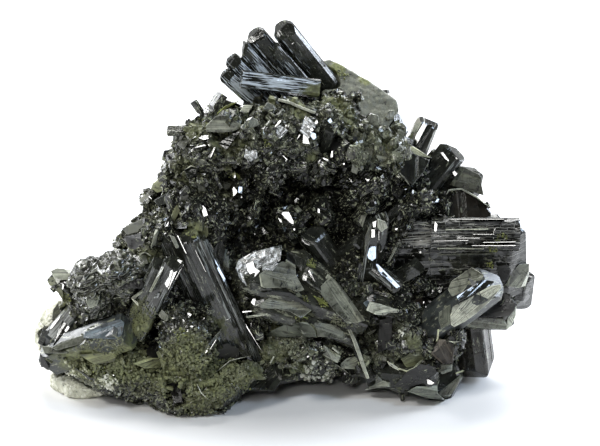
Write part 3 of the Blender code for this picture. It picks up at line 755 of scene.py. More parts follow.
# faces that mirror a lamp; the etched end, whose light colour and bright flecks are painted glints; the
# cleft faces of the upright prism, pale with painted streaks of reflection
mirrorGlass = dict(glass, facets=(0.7, 0.0), bump=(0.0, 0.0), gloss=(0.03, 0.1))
etchedGlass = dict(glass, dark=(0.05, 0.056, 0.05), light=(0.34, 0.37, 0.36), cloud=1.4,
                   facets=(1.8, 0.12), gloss=(0.03, 0.5),
                   fleck=(0.85, 0.88, 0.92), flecks=0.53, pits=0.47, fleckSize=(1.5, 1.5, 1))
facetGlass = dict(mirrorGlass, facets=(1.0, 0.02), bump=(0.08, 0.08), flecks=0.62)
cleftGlass = dict(glass, dark=(0.02, 0.02, 0.017), light=(0.05, 0.05, 0.04), gloss=(0.08, 0.2),
                  streak=(0.50, 0.49, 0.43), streaks=1.6, flecks=0.7)
# olive, pale and moss-like grains
grainGlass = dict(glass, dark=(0.025, 0.026, 0.015), light=(0.11, 0.116, 0.068), toned=(0.21, 0.22, 0.13),
                  fleck=(0.42, 0.44, 0.31), flecks=0.57, fleckSize=(1.7, 1.7, 1), gloss=(0.25, 0.6))
paleGlass = dict(glass, dark=(0.42, 0.43, 0.33), light=(0.66, 0.66, 0.55), toned=(0.78, 0.78, 0.70),
                 gloss=(0.5, 0.8), dustDark=(0.3, 0.32, 0.2), dustLight=(0.5, 0.5, 0.36),
                 fleck=(0.85, 0.85, 0.78), pits=0.3, ior=1.5)
mossGlass = dict(grainGlass, dark=(0.09, 0.10, 0.02), light=(0.22, 0.25, 0.05), toned=(0.30, 0.33, 0.09))


def plateSkin():
    # each plate has its own colour and roughness, with striae along it painted lighter and darker as light
    # and shade on them, and flecks and pits of painted glints and shade
    skin, tree, surface, inMm = newSkin("plateSkin", 1.6)
    uv = skinMap(tree)
    paint = addNode(tree, "Attribute", attribute_name="paint").outputs["Color"]
    cloud = noise(tree, inMm, 0.7, 5.0, 0.7)
    grit = noise(tree, inMm, 4.0, 3.0, 0.7)
    striae = noise(tree, scaled(tree, uv, (3.6, 0.12, 1)), 1.0, 2.0, 0.6)
    # painted light and shade: the striae lighten and darken the colour, and the cloud varies its tone
    shade = calculate(tree, "MULTIPLY", ramp(tree, cloud, 0.6, 1.4, 0.35, 0.65),
                      ramp(tree, striae, 0.3, 1.75, 0.38, 0.62))
    colour = addNode(tree, "VectorMath", {0: paint, "Scale": shade}, operation="SCALE").outputs[0]
    colour = addFlecks(tree, scaled(tree, uv, (1.6, 0.9, 1)), colour, 0.62, 0.42, (0.30, 0.32, 0.22))
    rough = calculate(tree, "MULTIPLY", attribute(tree, "rough"), ramp(tree, cloud, 0.6, 1.6, 0.3, 0.7))
    relief = addNode(tree, "Bump", {"Height": grit, "Strength": 0.35, "Distance": 0.05 * mm}).outputs[0]
    finishSkin(tree, surface, colour, rough, bump(tree, striae, 0.5, 0.08 * mm, relief))
    return skin


def rockSkin(name, look):
    # granular rock: grains of different tone, dull with a few glassy grains; where it is calm, smooth
    # and plain, with thin light rings round a centre if the look has one
    skin, tree, surface, inMm = newSkin(name, look["ior"])
    calm = attribute(tree, "calm")
    cells = addNode(tree, "TexVoronoi", {"Vector": inMm, "Scale": look["grain"]})
    cloud = noise(tree, inMm, look["cloud"], 5.0, 0.65)
    grit = noise(tree, inMm, look["grit"], 3.0)
    cell = addNode(tree, "SeparateColor", {"Color": cells.outputs["Color"]})
    base = blendColour(tree, ramp(tree, cloud, 0, 1, 0.35, 0.65), look["dark"], look["light"])
    base = blendColour(tree, ramp(tree, cell.outputs[0], 0, 0.6), base, look["speck"])
    if "rings" in look:
        off = addNode(tree, "VectorMath", {0: inMm, 1: tuple(look["rings"])}, operation="SUBTRACT").outputs[0]
        wave = addNode(tree, "TexWave", {"Vector": off, "Scale": 0.55, "Distortion": 5.0, "Detail": 3.0,
                                         "Detail Scale": 0.5},
                       wave_type="RINGS", rings_direction="SPHERICAL").outputs["Fac"]
        lines = calculate(tree, "MULTIPLY", ramp(tree, wave, 0, 1, 0.84, 0.96), calm)
        base = blendColour(tree, ramp(tree, calm, 0, 0.7), base, (0.010, 0.010, 0.008))
        base = blendColour(tree, lines, base, (0.24, 0.245, 0.20))
    fine = addNode(tree, "VectorMath", {0: inMm, 1: (1.5, 1.5, 1.5)}, operation="MULTIPLY").outputs[0]
    # light flecks of painted glints and dark pits of painted shade, left out where it is calm
    flecked = addFlecks(tree, fine, base, look["flecks"], look["pits"], look["fleck"])
    base = blendColour(tree, calm, flecked, base)
    dusty = calculate(tree, "SUBTRACT", attribute(tree, "olive"), ramp(tree, grit, 0, 0.6, 0.3, 0.7))
    dusty = ramp(tree, dusty, 0, 1, 0.0, 0.35)
    dust = blendColour(tree, ramp(tree, grit, 0, 1, 0.4, 0.6), look["dustDark"], look["dustLight"])
    gloss = ramp(tree, cell.outputs[1], *look["gloss"])
    rough = addNode(tree, "Mix", {0: calm, 2: gloss, 3: 0.2}).outputs[0]
    relief = None
    for perMm, tilt in look["facets"]:
        relief = addFacets(tree, inMm, perMm, tilt, relief, ramp(tree, calm, 1, 0.1))
    relief = bump(tree, cells.outputs["Distance"], look["bump"][0], 0.1 * mm, relief)
    relief = bump(tree, grit, look["bump"][1], 0.1 * mm, relief)
    if "rings" in look:
        relief = bump(tree, wave, calm, 0.2 * mm, relief)
    finishSkin(tree, surface, blendColour(tree, dusty, base, dust), rough, relief)
    return skin


massRock = {
    "ior": 1.7, "grain": 2.2, "cloud": 0.35, "grit": 4.0,
    "dark": (0.009, 0.009, 0.007), "light": (0.074, 0.077, 0.056), "speck": (0.026, 0.027, 0.020),
    "fleck": (0.38, 0.40, 0.27), "flecks": 0.56, "pits": 0.47,
    "dustDark": (0.085, 0.090, 0.045), "dustLight": (0.21, 0.22, 0.115),
    "gloss": (0.06, 0.35), "bump": (0.15, 0.15), "facets": ((2.0, 0.5), (0.9, 0.35)),
}

paleRock = {
    "ior": 1.5, "grain": 3.0, "cloud": 0.5, "grit": 4.0,
    "dark": (0.36, 0.37, 0.28), "light": (0.72, 0.72, 0.58), "speck": (0.62, 0.62, 0.52),
    "dustDark": (0.30, 0.31, 0.20), "dustLight": (0.5, 0.5, 0.36),
    "fleck": (0.80, 0.80, 0.70), "flecks": 0.54, "pits": 0.38,
    "gloss": (0.7, 0.95), "bump": (0.3, 0.5), "facets": ((1.5, 0.3),),
}

slabRock = {
    "ior": 1.6, "grain": 2.4, "cloud": 0.45, "grit": 3.0,
    "dark": (0.112, 0.117, 0.086), "light": (0.172, 0.178, 0.133), "speck": (0.14, 0.146, 0.106),
    "dustDark": (0.14, 0.15, 0.05), "dustLight": (0.30, 0.32, 0.12),
    "fleck": (0.26, 0.27, 0.20), "flecks": 0.58, "pits": 0.42,
    "gloss": (0.45, 0.62), "bump": (0.05, 0.10), "facets": ((1.2, 0.05),),
}


# Prisms

fineStriae = {"width": (0.22, 0.55), "step": 0.07, "tilt": 0.018, "run": (2.0, 5.0),
              "change": 0.25, "swell": 0.006, "chamfer": 0.16, "chips": 3}
boldStriae = dict(fineStriae, width=(0.25, 0.6), step=0.1, tilt=0.03, run=(2.5, 6.0), change=0.2)
brickStriae = dict(fineStriae, width=(0.22, 0.48), step=0.12, tilt=0.03, run=(0.9, 2.6), change=0.45)
calmStriae = dict(fineStriae, width=(0.5, 1.4), step=0.02, tilt=0.006, change=0.1)

topFan = {
    "name": "topFanPrisms", "node": "top_fan_crystals", "look": fanGlass, "striae": boldStriae,
    "crystals": [
        crystal((-0.5, 46.8, 1.5), (5.4, 39.4, 5.6), 2.9, 2.6, -6, "eight", "blunt",
                {90: 0.12, 130: 0.35, 180: 0.6, "edge": 0.5}),
        crystal((-3.9, 46, 1.6), (2.6, 38.4, 4.2), 2.7, 2.6, -6, "eight", "blunt",
                {90: 0.3, 130: 0.55, 50: 0.4, "edge": 0.5}),
        crystal((-1.6, 44.4, 0.6), (3.4, 38.6, 3), 1.7, 2, -6, "eight", "slant",
                {90: 0.4, 130: 0.5, 50: 0.3, "edge": 0.5}),
        crystal((-5.6, 44.5, 1), (0.4, 37.8, 3.4), 2, 2.2, -6, "eight", "slant",
                {90: 0.68, 130: 0.5, 50: 0.7, "edge": 0.5}),
        crystal((-6.8, 42.8, 0.6), (-0.9, 36.8, 2.8), 2, 2.2, -6, "eight", "blunt",
                {90: 0.75, 130: 0.6, 50: 0.75, "edge": 0.6, "end": 0.3}),
        crystal((-7.6, 40.9, 0.3), (-2.2, 36, 2.2), 2, 2.2, -6, "eight", "blunt",
                {90: 0.8, 130: 0.7, 50: 0.8, "edge": 0.6, "end": 0.4}),
        crystal((-5.5, 40.2, -1.6), (4.2, 39, 0), 2.2, 2.2, 8, "lath", "flat",
                {90: 0.78, 45: 0.3, "edge": 0.8, "end": 0.5}),
    ],
}

glintPrism = {
    "name": "glintPrism", "node": "glint_prism", "look": cleftGlass, "striae": calmStriae,
    "crystals": [crystal((18, 35.1, 6.5), (15.1, 27.4, 5), 3, 2.7, 8, "eight", "blunt",
                         {90: 0.15, 50: 0.8, 130: 1, 0: 0.9, 180: 0.9, "edge": 0.9, "end": 0.45})],
}

upperRight = {
    "name": "upperRightPrisms", "node": "upper_right_crystals", "striae": fineStriae,
    "crystals": [
        crystal((21.6, 31.5, 2.6), (15.6, 23.4, 2.6), 3.7, 3.5, -8, "eight", "broken",
                {"edge": 0.5, "end": 0.35}),
        crystal((24.9, 26.8, 4), (14.6, 28.2, 4), 3.4, 3.4, 20, "eight", "blunt",
                {90: 0.25, 130: 0.3, 50: 0.3, "edge": 0.4}),
    ],
}

rightBundle = {
    "name": "rightPrismBundle", "node": "right_prism_bundle", "look": brickGlass, "striae": brickStriae,
    "crystals": [
        crystal((30.9, 18.3, -2.5), (12, 17.8, -0.5), 6.6, 6.8, 22, "eight", "blunt",
                {90: 0.12, 130: 0.5, "edge": 0.45, "end": 0.2}),
        crystal((30, 20.1, -5.4), (18.7, 20.2, -5), 4, 2.4, 12, "lath", "flat",
                {90: 0.45, "edge": 0.6, "end": 0.3}),
        crystal((30.4, 14.9, -1.5), (14, 14.6, 0), 5.4, 5.6, 15, "eight", "blunt",
                {90: 0.05, 130: 0.2, "edge": 0.3, "end": 0.15}),
        crystal((29.4, 20.9, 0.2), (18, 20.4, 1), 2.8, 3.6, 10, "six", "slant",
                {90: 0.4, 25: 0.4, 155: 0.4, "edge": 0.6}),
        crystal((19.6, 20.2, -3.9), (12.5, 19.8, -1.8), 3.6, 3, 10, "lath", "broken",
                {90: 0.55, "edge": 0.8, "end": 0.4}),
        crystal((31.9, 12.9, 3), (18, 13.6, 3), 5, 5, 20, "eight", "blunt",
                {90: 0.08, 50: 0.1, "edge": 0.35, "end": 0.2}),
    ],
}

lowerRight = {
    "name": "lowerRightPrism", "node": "lower_right_prism", "look": dullGlass, "striae": calmStriae,
    "crystals": [crystal((29.7, 9.9, -1.5), (15, 10.4, 0.5), 4.4, 4.4, 35, "eight", "blunt")],
}

mirrorCrystal = {
    "name": "frontMirrorPrism", "node": "front_mirror_crystal", "look": satinGlass, "striae": calmStriae,
    "crystals": [crystal((26.5, 13.8, -10), (18.8, 7.4, -4.6), 4.6, 4.2, -25, "eight", "blunt")],
}

brownPrism = {
    "name": "brownPrism", "node": "brown_prism", "look": brownGlass, "striae": fineStriae,
    "crystals": [crystal((24.4, 1, 1), (22.8, 12, 2), 5.8, 5.2, 20, "eight", "blunt",
                         {90: 0.2, 50: 0.35, 0: 0.5, "edge": 0.5})],
}

longFront = {
    "name": "longFrontPrisms", "node": "long_front_prism", "striae": boldStriae,
    "crystals": [
        crystal((-13.1, 20.3, -8.5), (-5.2, 1.8, -6.5), 3.6, 3.2, -10, "eight", "blunt",
                {90: 0.15, 130: 0.2, 50: 0.35, 0: 0.5, "edge": 0.75}),
        crystal((-15, 20.1, -7.8), (-7.8, 2.4, -6), 2, 2.4, 10, "six", "blunt",
                {90: 0.15, 155: 0.5, "edge": 0.7}),
        crystal((-11.2, 19.7, -8.8), (-4, 2.6, -6.4), 1.5, 2, -20, "six", "slant",
                {90: 0.6, 25: 0.7, "edge": 0.9}),
    ],
}

leaningPrism = {
    "name": "leaningPrisms", "node": "leaning_prism", "striae": fineStriae,
    "crystals": [
        crystal((-14.1, 16.8, -12), (-19.2, 6.6, -8.5), 2.3, 2.2, -15, "eight", "blunt",
                {90: 0.4, 130: 0.3, 50: 0.6, "edge": 0.7}),
        crystal((-15.9, 16.9, -11.2), (-20.4, 7.6, -8), 1.3, 1.8, 10, "six", "roof",
                {90: 0.3, 155: 0.5, "edge": 0.7}),
    ],
}

underCentre = {
    "name": "underCentrePrism", "node": "under_centre_prism", "look": dullGlass, "striae": calmStriae,
    "crystals": [crystal((-4.1, 11, -9.8), (8.6, 6.4, -5.2), 3.1, 2.8, 12, "eight", "blunt")],
}

centrePrism = {
    "name": "centrePrisms", "node": "centre_prism", "look": dullGlass, "striae": calmStriae,
    "crystals": [
        crystal((-6, 15.3, -9.3), (10, 9, -4.4), 4.8, 4.4, 12, "eight", "pitted"),
        crystal((0.6, 17.5, -6.6), (10.6, 9.8, -3.6), 2.2, 2.6, 15, "six", "chisel"),
        crystal((2.2, 15, -8.8), (9.6, 9.4, -5.6), 2, 2, 20, "lath", "blunt"),
    ],
}

centreBlade = {
    "name": "centreBlades", "node": "centre_blade", "striae": fineStriae,
    "crystals": [
        crystal((11.9, 22.6, -9), (10.5, 12.6, -3.6), 2.7, 2.2, 20, "lath", "slant",
                {90: 0.25, 45: 0.35, "edge": 0.8, "end": 0.5}),
        crystal((14.9, 12.7, -8.4), (9.8, 16.8, -4.6), 1.6, 1.7, 10, "six", "roof",
                {90: 0.5, 155: 0.5, "edge": 0.7}),
    ],
}

leftSlab = {
    "name": "leftSlabPrisms", "node": "left_slab_crystals", "look": satinGlass, "striae": calmStriae,
    "crystals": [
        crystal((-20.5, 7, -10.4), (-30.6, 3.4, -5.4), 4, 3.6, 44, "lath", "flat"),
        crystal((-31.2, 5, -6), (-26.6, 10.4, -3.6), 2.2, 2, 20, "six", "roof",
                {90: 0.7, 155: 0.5, "edge": 0.7}),
    ],
}

largePrisms = [topFan, glintPrism, upperRight, rightBundle, lowerRight, mirrorCrystal, brownPrism,
               longFront, leaningPrism, underCentre, centrePrism, centreBlade, leftSlab]


def makeLargePrisms(rng):
    for group in largePrisms:
        made = [striatedPrism(rng, spec, group["striae"]) for spec in group["crystals"]]
        piece = joinUp(made, group["name"])
        settle(piece, crystalSkin(group["name"], group.get("look", glass)), [group["node"]])
        print(group["name"], "has", len(piece.data.polygons), "faces")


# Smaller crystals and knobs that are intergrown with the mass

ingrownStriated = {
    "name": "ingrownStriatedPrisms", "striae": fineStriae,
    "crystals": [crystal(*row) for row in (
        ((-29.6, 15, -4), (-23.8, 9.2, -2.6), 2.6, 2.6, 10, "six", "chisel"),
        ((14.9, 35.4, 3), (11.4, 29, 3), 2.4, 2.4, 15, "six", "chisel"),
        ((11, 35.6, -2.6), (9, 28, -0.5), 1.4, 1.5, 20, "six", "blunt"),
        ((12.4, 34.4, -2.8), (11.2, 28, -0.5), 1.5, 1.6, 0, "six", "roof"),
        ((14.2, 31.8, -3.6), (11.2, 27.6, -1), 2.2, 1.4, 25, "lath", "blunt"),
        ((3, 34.8, -8.2), (3.6, 30, -4), 1.8, 1.6, 25, "six", "chisel"),
        ((5.8, 34.4, -7.6), (4.6, 30, -4), 1.5, 1.5, -15, "six", "roof"),
        ((-5.6, 27.8, -6.4), (-5.8, 21.8, -1), 1.6, 1.3, 30, "lath", "slant"),
        ((9.7, 21.8, -5.6), (13.4, 28.2, -3.4), 1.5, 1.5, 10, "six", "roof"),
        ((14.5, 19.4, -7.4), (13, 15.4, -5), 0.9, 0.9, 0, "four", "slant"),
        ((15, 24.2, -6), (12.4, 21.4, -4), 0.9, 0.8, 10, "four", "slant"),
        ((-18.1, 25.2, 1), (-13.6, 22.6, 2), 1.8, 2, 0, "six", "chisel"),
        ((-15, 21.8, -7), (-18.2, 17, -5), 1.6, 1.8, 10, "six", "blunt"),
        ((-17.1, 20.6, -6.2), (-16.6, 15, -4.4), 2, 2, 30, "six", "roof"),
        ((-20.9, 20.4, 0), (-16.6, 15, 1), 2.2, 2.2, 0, "six", "roof"),
        ((-8.4, 21.6, -6.8), (-9.4, 14.4, -4.6), 2.2, 1.8, 20, "lath", "chisel"),
        ((18.4, 24.9, -5.2), (14, 22.2, -2.6), 1.9, 1.8, 20, "lath", "blunt"),
        ((23.2, 6.6, -7.8), (18, 6, -4), 2.2, 2.2, 15, "six", "broken"),
        ((15.8, 7.6, -8.4), (16.4, 1.6, -4), 2.6, 2.4, 0, "eight", "broken"),
        ((9.8, 19.4, -5.2), (5.4, 16.2, -2.4), 1.7, 1.5, 20, "lath", "roof"),
        ((-12, 28.2, -3.6), (-9.6, 24.6, -0.5), 2.6, 1.8, -10, "lath", "roof"),
        ((-6.8, 25.8, -4.2), (-10.2, 27.6, -1), 1.5, 1.2, 10, "lath", "slant"),
        ((17.6, 16.2, -6.4), (12.4, 13, -4), 1.8, 1.6, 15, "six", "roof"),
        ((-13.4, 23.6, -4.4), (-11.4, 20.4, -1.8), 1.9, 1.7, 10, "six", "roof")
    )],
}

ingrownSmooth = {
    "name": "ingrownSmoothPrisms", "striae": calmStriae,
    "crystals": [crystal(*row) for row in (
        ((-9.5, 36.8, 2), (-4.6, 35, 2.5), 2.6, 2.8, 20, "lath", "flat"),
        ((-10.6, 33, -7.4), (-7.6, 30, -3), 2, 1.6, 15, "lath", "roof"),
        ((-9, 31.2, -8.2), (-7.6, 27, -3), 1.5, 1.5, 0, "six", "chisel"),
        ((0.3, 23.2, -6), (2.5, 17.6, 0), 2.2, 2, 10, "six", "chisel"),
        ((4.4, 24.4, -4.6), (5.6, 19.4, 0.6), 1.8, 1.7, 0, "six", "blunt"),
        ((10.3, 11.2, -9), (18, 8.8, -4.4), 2.2, 2.2, 15, "lath", "blunt"),
        ((11.3, 0.1, -7.5), (7.4, 9, -5.2), 0.9, 0.9, 10, "four", "flat"),
        ((4.9, 5.6, -7.2), (8.2, 2, -3.4), 1.7, 1.4, 20, "lath", "flat"),
        ((8.8, 3.4, -6.6), (8.4, 0.4, -3.4), 1.9, 1.6, 0, "six", "blunt"),
        ((16.4, -0.9, -6.4), (4.6, 4.6, -3.6), 2.2, 2.4, 15, "eight", "blunt"),
        ((-6.1, -0.1, -5.6), (4, 2.4, -3.6), 2.4, 2.6, 30, "six", "chisel"),
        ((-18, 16.4, -8), (-18.4, 10, -4.6), 2.6, 2.4, 20, "eight", "broken"),
        ((-16.6, 10, -10.2), (-13.6, 13.4, -6.4), 1.6, 1.4, 20, "lath", "flat"),
        ((-5.2, 9.7, -8), (-0.6, 9.9, -4.4), 0.8, 0.8, 0, "four", "slant"),
        ((-4.1, 11.9, -9), (-3.8, 9, -5), 1.2, 1.2, 20, "six", "blunt"),
        ((19.4, 5.6, -7.6), (18.8, 1.2, -4), 2.6, 2.2, 20, "six", "blunt"),
        ((2.8, 20.8, -4.4), (9.4, 11.4, -2), 3.2, 3, 20, "eight", "roof")
    )],
}

plateRidges = {"across": (1, 0.1, 0.1), "gap": 0.45, "step": 0.12, "bevel": 0.18, "chips": 5}

ingrownPlates = [
    {"outline": ((13.4, 31.2), (15.1, 32.4), (18.5, 30.2), (18.3, 26.8), (15.6, 25.6), (13.4, 27.6)),
     "at": seen((15.7, 29.0, -0.7)), "facing": (0.14, -0.96, 0.2), "depth": 5.0},
    {"outline": ((19.4, 24.6), (20.1, 25.6), (21.0, 26.1), (22.0, 26.1), (23.0, 25.9), (24.2, 25.3),
                 (25.0, 24.6), (26.4, 22.9), (24.0, 20.6), (19.0, 20.6)),
     "at": seen((22.6, 24.0, -0.7)), "facing": (0.16, -0.93, 0.32), "depth": 6.0},
]

footPlate = {
    "outline": ((15.4, -0.7), (19.2, -2.6), (21.0, -2.9), (22.0, -2.1), (23.4, 0.8), (22.2, 2.8),
                (18.0, 3.4), (14.8, 1.4)),
    "at": seen((19.5, -0.1, -6.0)), "facing": (0.22, -0.93, 0.3), "depth": 7.0,
}
footRidges = {"across": (0.5, 0, 1), "gap": 0.9, "step": 0.1, "bevel": 0.25, "chips": 8}
footCrystal = crystal((19.8, 0.4, -8.6), (11.0, 1.2, -5.0), 2.7, 2.7, 30, "six", "blunt")


def makeIngrown(rng):
    for group in (ingrownStriated, ingrownSmooth):
        made = [striatedPrism(rng, spec, group["striae"]) for spec in group["crystals"]]
        piece = joinUp(made, group["name"])
        settle(piece, crystalSkin(group["name"], glass))
        print(group["name"], "has", len(piece.data.polygons), "faces")
    plates = [ridgedPlate(rng, spec, plateRidges) for spec in ingrownPlates]
    settle(joinUp(plates, "ingrownPlates"), crystalSkin("plateGlass", brownGlass))
    foot = [ridgedPlate(rng, footPlate, footRidges), striatedPrism(rng, footCrystal, calmStriae)]
    foot = joinUp(foot, "rightFoot")
    settle(foot, crystalSkin("footGlass", glass), ["right_foot_crystals"])


# Plates: crystal faces of their own, read from the photograph one by one, and black sheets of painted
# shade over hollows and seams. Each is a row of corners x, z, x, z ... as seen from the eye, listed by its
# kind. A white or cool one mirrors a lamp to the eye.

plateKinds = {
    # colour, roughness; the light and grey colours are partly the faces' own tone and partly painted
    # reflection
    "white": ((0.016, 0.017, 0.014), 0.05),
    "cool": ((0.016, 0.018, 0.018), 0.06),
    "etched": ((0.40, 0.43, 0.42), 0.3),  # its colour comes from a skin of its own
    "pale": ((0.42, 0.43, 0.29), 0.5),
    "light": ((0.34, 0.35, 0.28), 0.3),
    "grey": ((0.150, 0.156, 0.120), 0.28),
    "dim": ((0.058, 0.061, 0.044), 0.25),
    "dark": ((0.020, 0.022, 0.017), 0.12),
    "black": ((0.006, 0.006, 0.005), 0.3),
    "olive": ((0.115, 0.122, 0.058), 0.5),
    "moss": ((0.20, 0.23, 0.045), 0.5),
    "oliveDark": ((0.045, 0.048, 0.027), 0.5),
    "blue": ((0.080, 0.105, 0.12), 0.26),
    "teal": ((0.085, 0.093, 0.070), 0.38),
    "brown": ((0.036, 0.029, 0.021), 0.35),
}

plates = {}

plates["white"] = [
    (-13.8, 16.8, -13.2, 16.6, -15.1, 12.6, -15.6, 13.4),
    # crown
    (-9.4, 34.6, -9, 35.1, -8.6, 35.3, -8.9, 34.9), (-5, 34.8, -4.5, 35.3, -3.9, 35.5, -4.4, 35),
    (-5.9, 36.5, -5.2, 36.7, -5, 37, -5.4, 36.9),
    (-11.6, 31.3, -11.2, 31.6, -10.2, 31.9, -9.8, 31.7, -10.8, 31.5),
    (-11, 32.7, -10.2, 33.1, -9.6, 33.1, -9.5, 32.6, -10.2, 32.4),
    (-9.8, 31.9, -9.3, 32.2, -9.2, 31.8, -9.6, 31.5), (-6.7, 28.2, -6.3, 28.4, -6.2, 27.6, -6.5, 27.4),
    (3.1, 33.8, 3.4, 34.1, 3.7, 33.7, 3.3, 33.5),
    (2, 32.3, 2.3, 33.4, 2.7, 33.2, 3.3, 32.3, 3.1, 31.9, 2.2, 32),
    (3.7, 34.7, 4.1, 35.1, 4.2, 34.6, 3.9, 34.4), (1.4, 32.4, 1.6, 32.5, 2, 33.1, 1.8, 33.2),
    (5.7, 33.6, 5.9, 33.7, 6, 33, 5.7, 32.8), (5.7, 30.1, 5.8, 31, 6.1, 31.1, 6.1, 30.2),
    (5.4, 31.1, 5.5, 31.4, 5.7, 31.3, 5.6, 31), (7.3, 29.2, 7.3, 29.8, 7.6, 29.8, 7.6, 29.2),
    (4.4, 30.1, 4.6, 30.3, 5.6, 29.9, 5.4, 29.7), (-0.4, 30.5, -0.2, 30.5, 0.4, 29.9, 0.2, 29.8),
    (-1.4, 34.1, -0.7, 35, -0.4, 35, -0.5, 34.7, -1.2, 34), (6.9, 28.4, 7.1, 28.3, 8.1, 27.1, 7.8, 27.1),
    (7.7, 28, 7.9, 28, 8.6, 27, 8.4, 26.9), (8, 28.3, 8.3, 28.2, 9, 27.6, 8.8, 27.5),
    (10.1, 27.4, 10.3, 27.7, 11, 27.9, 11.1, 27.6, 10.5, 27),
    (9.4, 27.9, 10.2, 28.7, 10.3, 28.5, 9.6, 27.8),
    # slope
    (-17.4, 25, -17.2, 25.3, -16.8, 25.3, -16.7, 24.9, -17, 24.7),
    (-13.9, 20, -13.7, 20, -12.6, 17.5, -12.8, 17.5),
    (-10.8, 23.6, -10.5, 24, -10.1, 23.6, -9.8, 22.6, -10.4, 22.4),
    (-6.3, 25.3, -5.4, 25.5, -5.4, 24.9, -6.2, 24.9),
    (-7.1, 25.2, -6.7, 26.2, -6.2, 26.8, -6, 26.8, -6.1, 25.6, -6.6, 25),
    (-1.9, 21.9, -1.5, 22.2, -1.2, 21.9, -1.6, 21.7),
    # cavity
    (-0.5, 22.8, -0.3, 23.1, 0.5, 23.1, 1.1, 21.9, 1.1, 21.4, 0.7, 21.5, 0.1, 22.1),
    (1, 20.7, 1.1, 21, 1.4, 20.9, 1.2, 20.5), (-1, 22.4, -0.5, 22.1, -0.3, 21.6, -0.7, 21.7),
    (1, 25, 1.2, 25.5, 1.4, 25.2, 1.1, 24.9),
    (3.9, 23.5, 4.2, 24.1, 4.4, 24.2, 4.8, 23.8, 4.4, 22.9, 4.1, 23),
    # upper right
    (17.3, 34.5, 17.9, 34.4, 16.6, 31.7, 16, 31.9, 16.6, 33.3),
    (19.6, 30.8, 20, 30.9, 20.8, 29.8, 20.7, 29.6, 20.2, 30),
    (20.7, 31.9, 21.1, 31.9, 21.6, 31.2, 21.7, 30.9, 21.2, 31.2),
    (21.4, 30.5, 21.8, 30.1, 22, 29.8, 21.6, 30),
    (21.2, 28.3, 21.5, 28.5, 21.9, 28.1, 21.6, 27.7, 21.3, 27.9),
    (19.4, 22.8, 20.5, 22.6, 20.8, 22.2, 19.9, 22.4), (18.8, 23, 19.1, 22.9, 19.2, 22.5, 19, 22.6),
    (19.1, 22, 19.5, 21.4, 19.4, 20.5, 19.1, 20.4, 19, 20.9), (17.3, 23.4, 17.6, 23.6, 17.4, 23.2),
    (17.2, 17.6, 17.2, 17.9, 17.5, 17.9, 17.5, 17.5),
    # centre
    (-5.1, 16.1, -4.1, 16.6, -3.9, 15.7, -3.2, 15.2, -3.9, 14.4, -4.4, 14.5, -4.9, 15.2),
    (-4.5, 17.6, -3.9, 17.8, -3.6, 17.3, -4, 16.9),
    (-1.7, 17.8, -1, 17.7, -0.4, 17, -0.8, 16.4, -1.2, 17.2), (4.4, 15.7, 4.7, 16, 4.5, 15.6),
    (-4.5, 11.4, -4.1, 11.8, -3.8, 11.7, -3.7, 11, -4, 10.5, -4.5, 10.9),
    (-5.6, 9.8, -4, 9.9, -4.3, 9.7, -5.6, 9.5), (11.1, 21.7, 11.7, 22, 11.6, 21, 11.2, 21),
    (11, 20.8, 11.5, 20.8, 11.5, 19.7, 11, 19.6), (17.9, 11.8, 18, 11.8, 18, 10.8, 17.8, 10.8),
    (18.1, 10.6, 18.3, 10.4, 18.2, 10), (-10.7, 4.3, -10, 4.8, -10.2, 4.1, -10.5, 3.9),
    # low left
    (-28.5, 15.3, -27.6, 15.1, -28.3, 15), (-28.7, 13.6, -28.5, 13.3, -28.7, 12.6, -28.9, 12.8),
    (-30.7, 7.2, -30.1, 8.3, -29.1, 9.2, -29.3, 8.7, -30.3, 7.4), (-31.9, 8.5, -31.3, 7.8, -30.8, 7),
    (-26.9, 3.4, -26.5, 3.5, -26.3, 3, -26.7, 2.9), (-26.1, 3.8, -25.5, 3.8, -25.7, 3.5),
    (-23.1, 1.2, -22.3, 1, -22.5, 0.8),
    (-15.8, 13.1, -15.3, 12.6, -15, 13.3, -13.5, 16.6, -14, 16.8, -14.9, 15),
    (-12.8, 9.1, -12.4, 9.1, -12.4, 8.8), (-10.8, 8.9, -10.4, 8.9, -10.5, 8.6),
    # foot
    (13, 0.2, 13.5, 0, 13.4, -0.1), (18.5, 0.5, 19, 0.3, 19.6, -0.1, 19.2, -0.4, 18.6, -0.3),
]
plates["cool"] = [
    (3.1, 33, 3.3, 33.5, 3.9, 33.3, 4, 32.7, 3.6, 32.4),
    (5.3, 35.2, 5.7, 35.3, 6.4, 34, 6.2, 33.7, 5.8, 34.5, 5.3, 34.9),
    (-6, 25.6, -5.9, 26.9, -5.4, 27, -5.4, 25.4),
    (-5.9, 24, -5.8, 24.7, -5.3, 24.8, -5.5, 23.9, -5.8, 23.7),
    (18.5, 24.9, 20, 24.8, 19.8, 24.3, 19, 24.3), (-5.5, 16.5, -5, 17.2, -4.3, 17.2, -4, 16.6, -5, 16.2),
    (10.5, 17.3, 11, 19.3, 11.4, 19.3, 11.7, 18.5, 11.7, 16.9, 11.2, 16.5, 10.7, 16.8),
    (-28.3, 12.4, -28, 12.7, -27.4, 11.6, -27.8, 11.8),
    (17.7, 2.7, 18.4, 3.3, 19, 3, 19.8, 2.5, 19.8, 2.2, 18.7, 2.3),
]
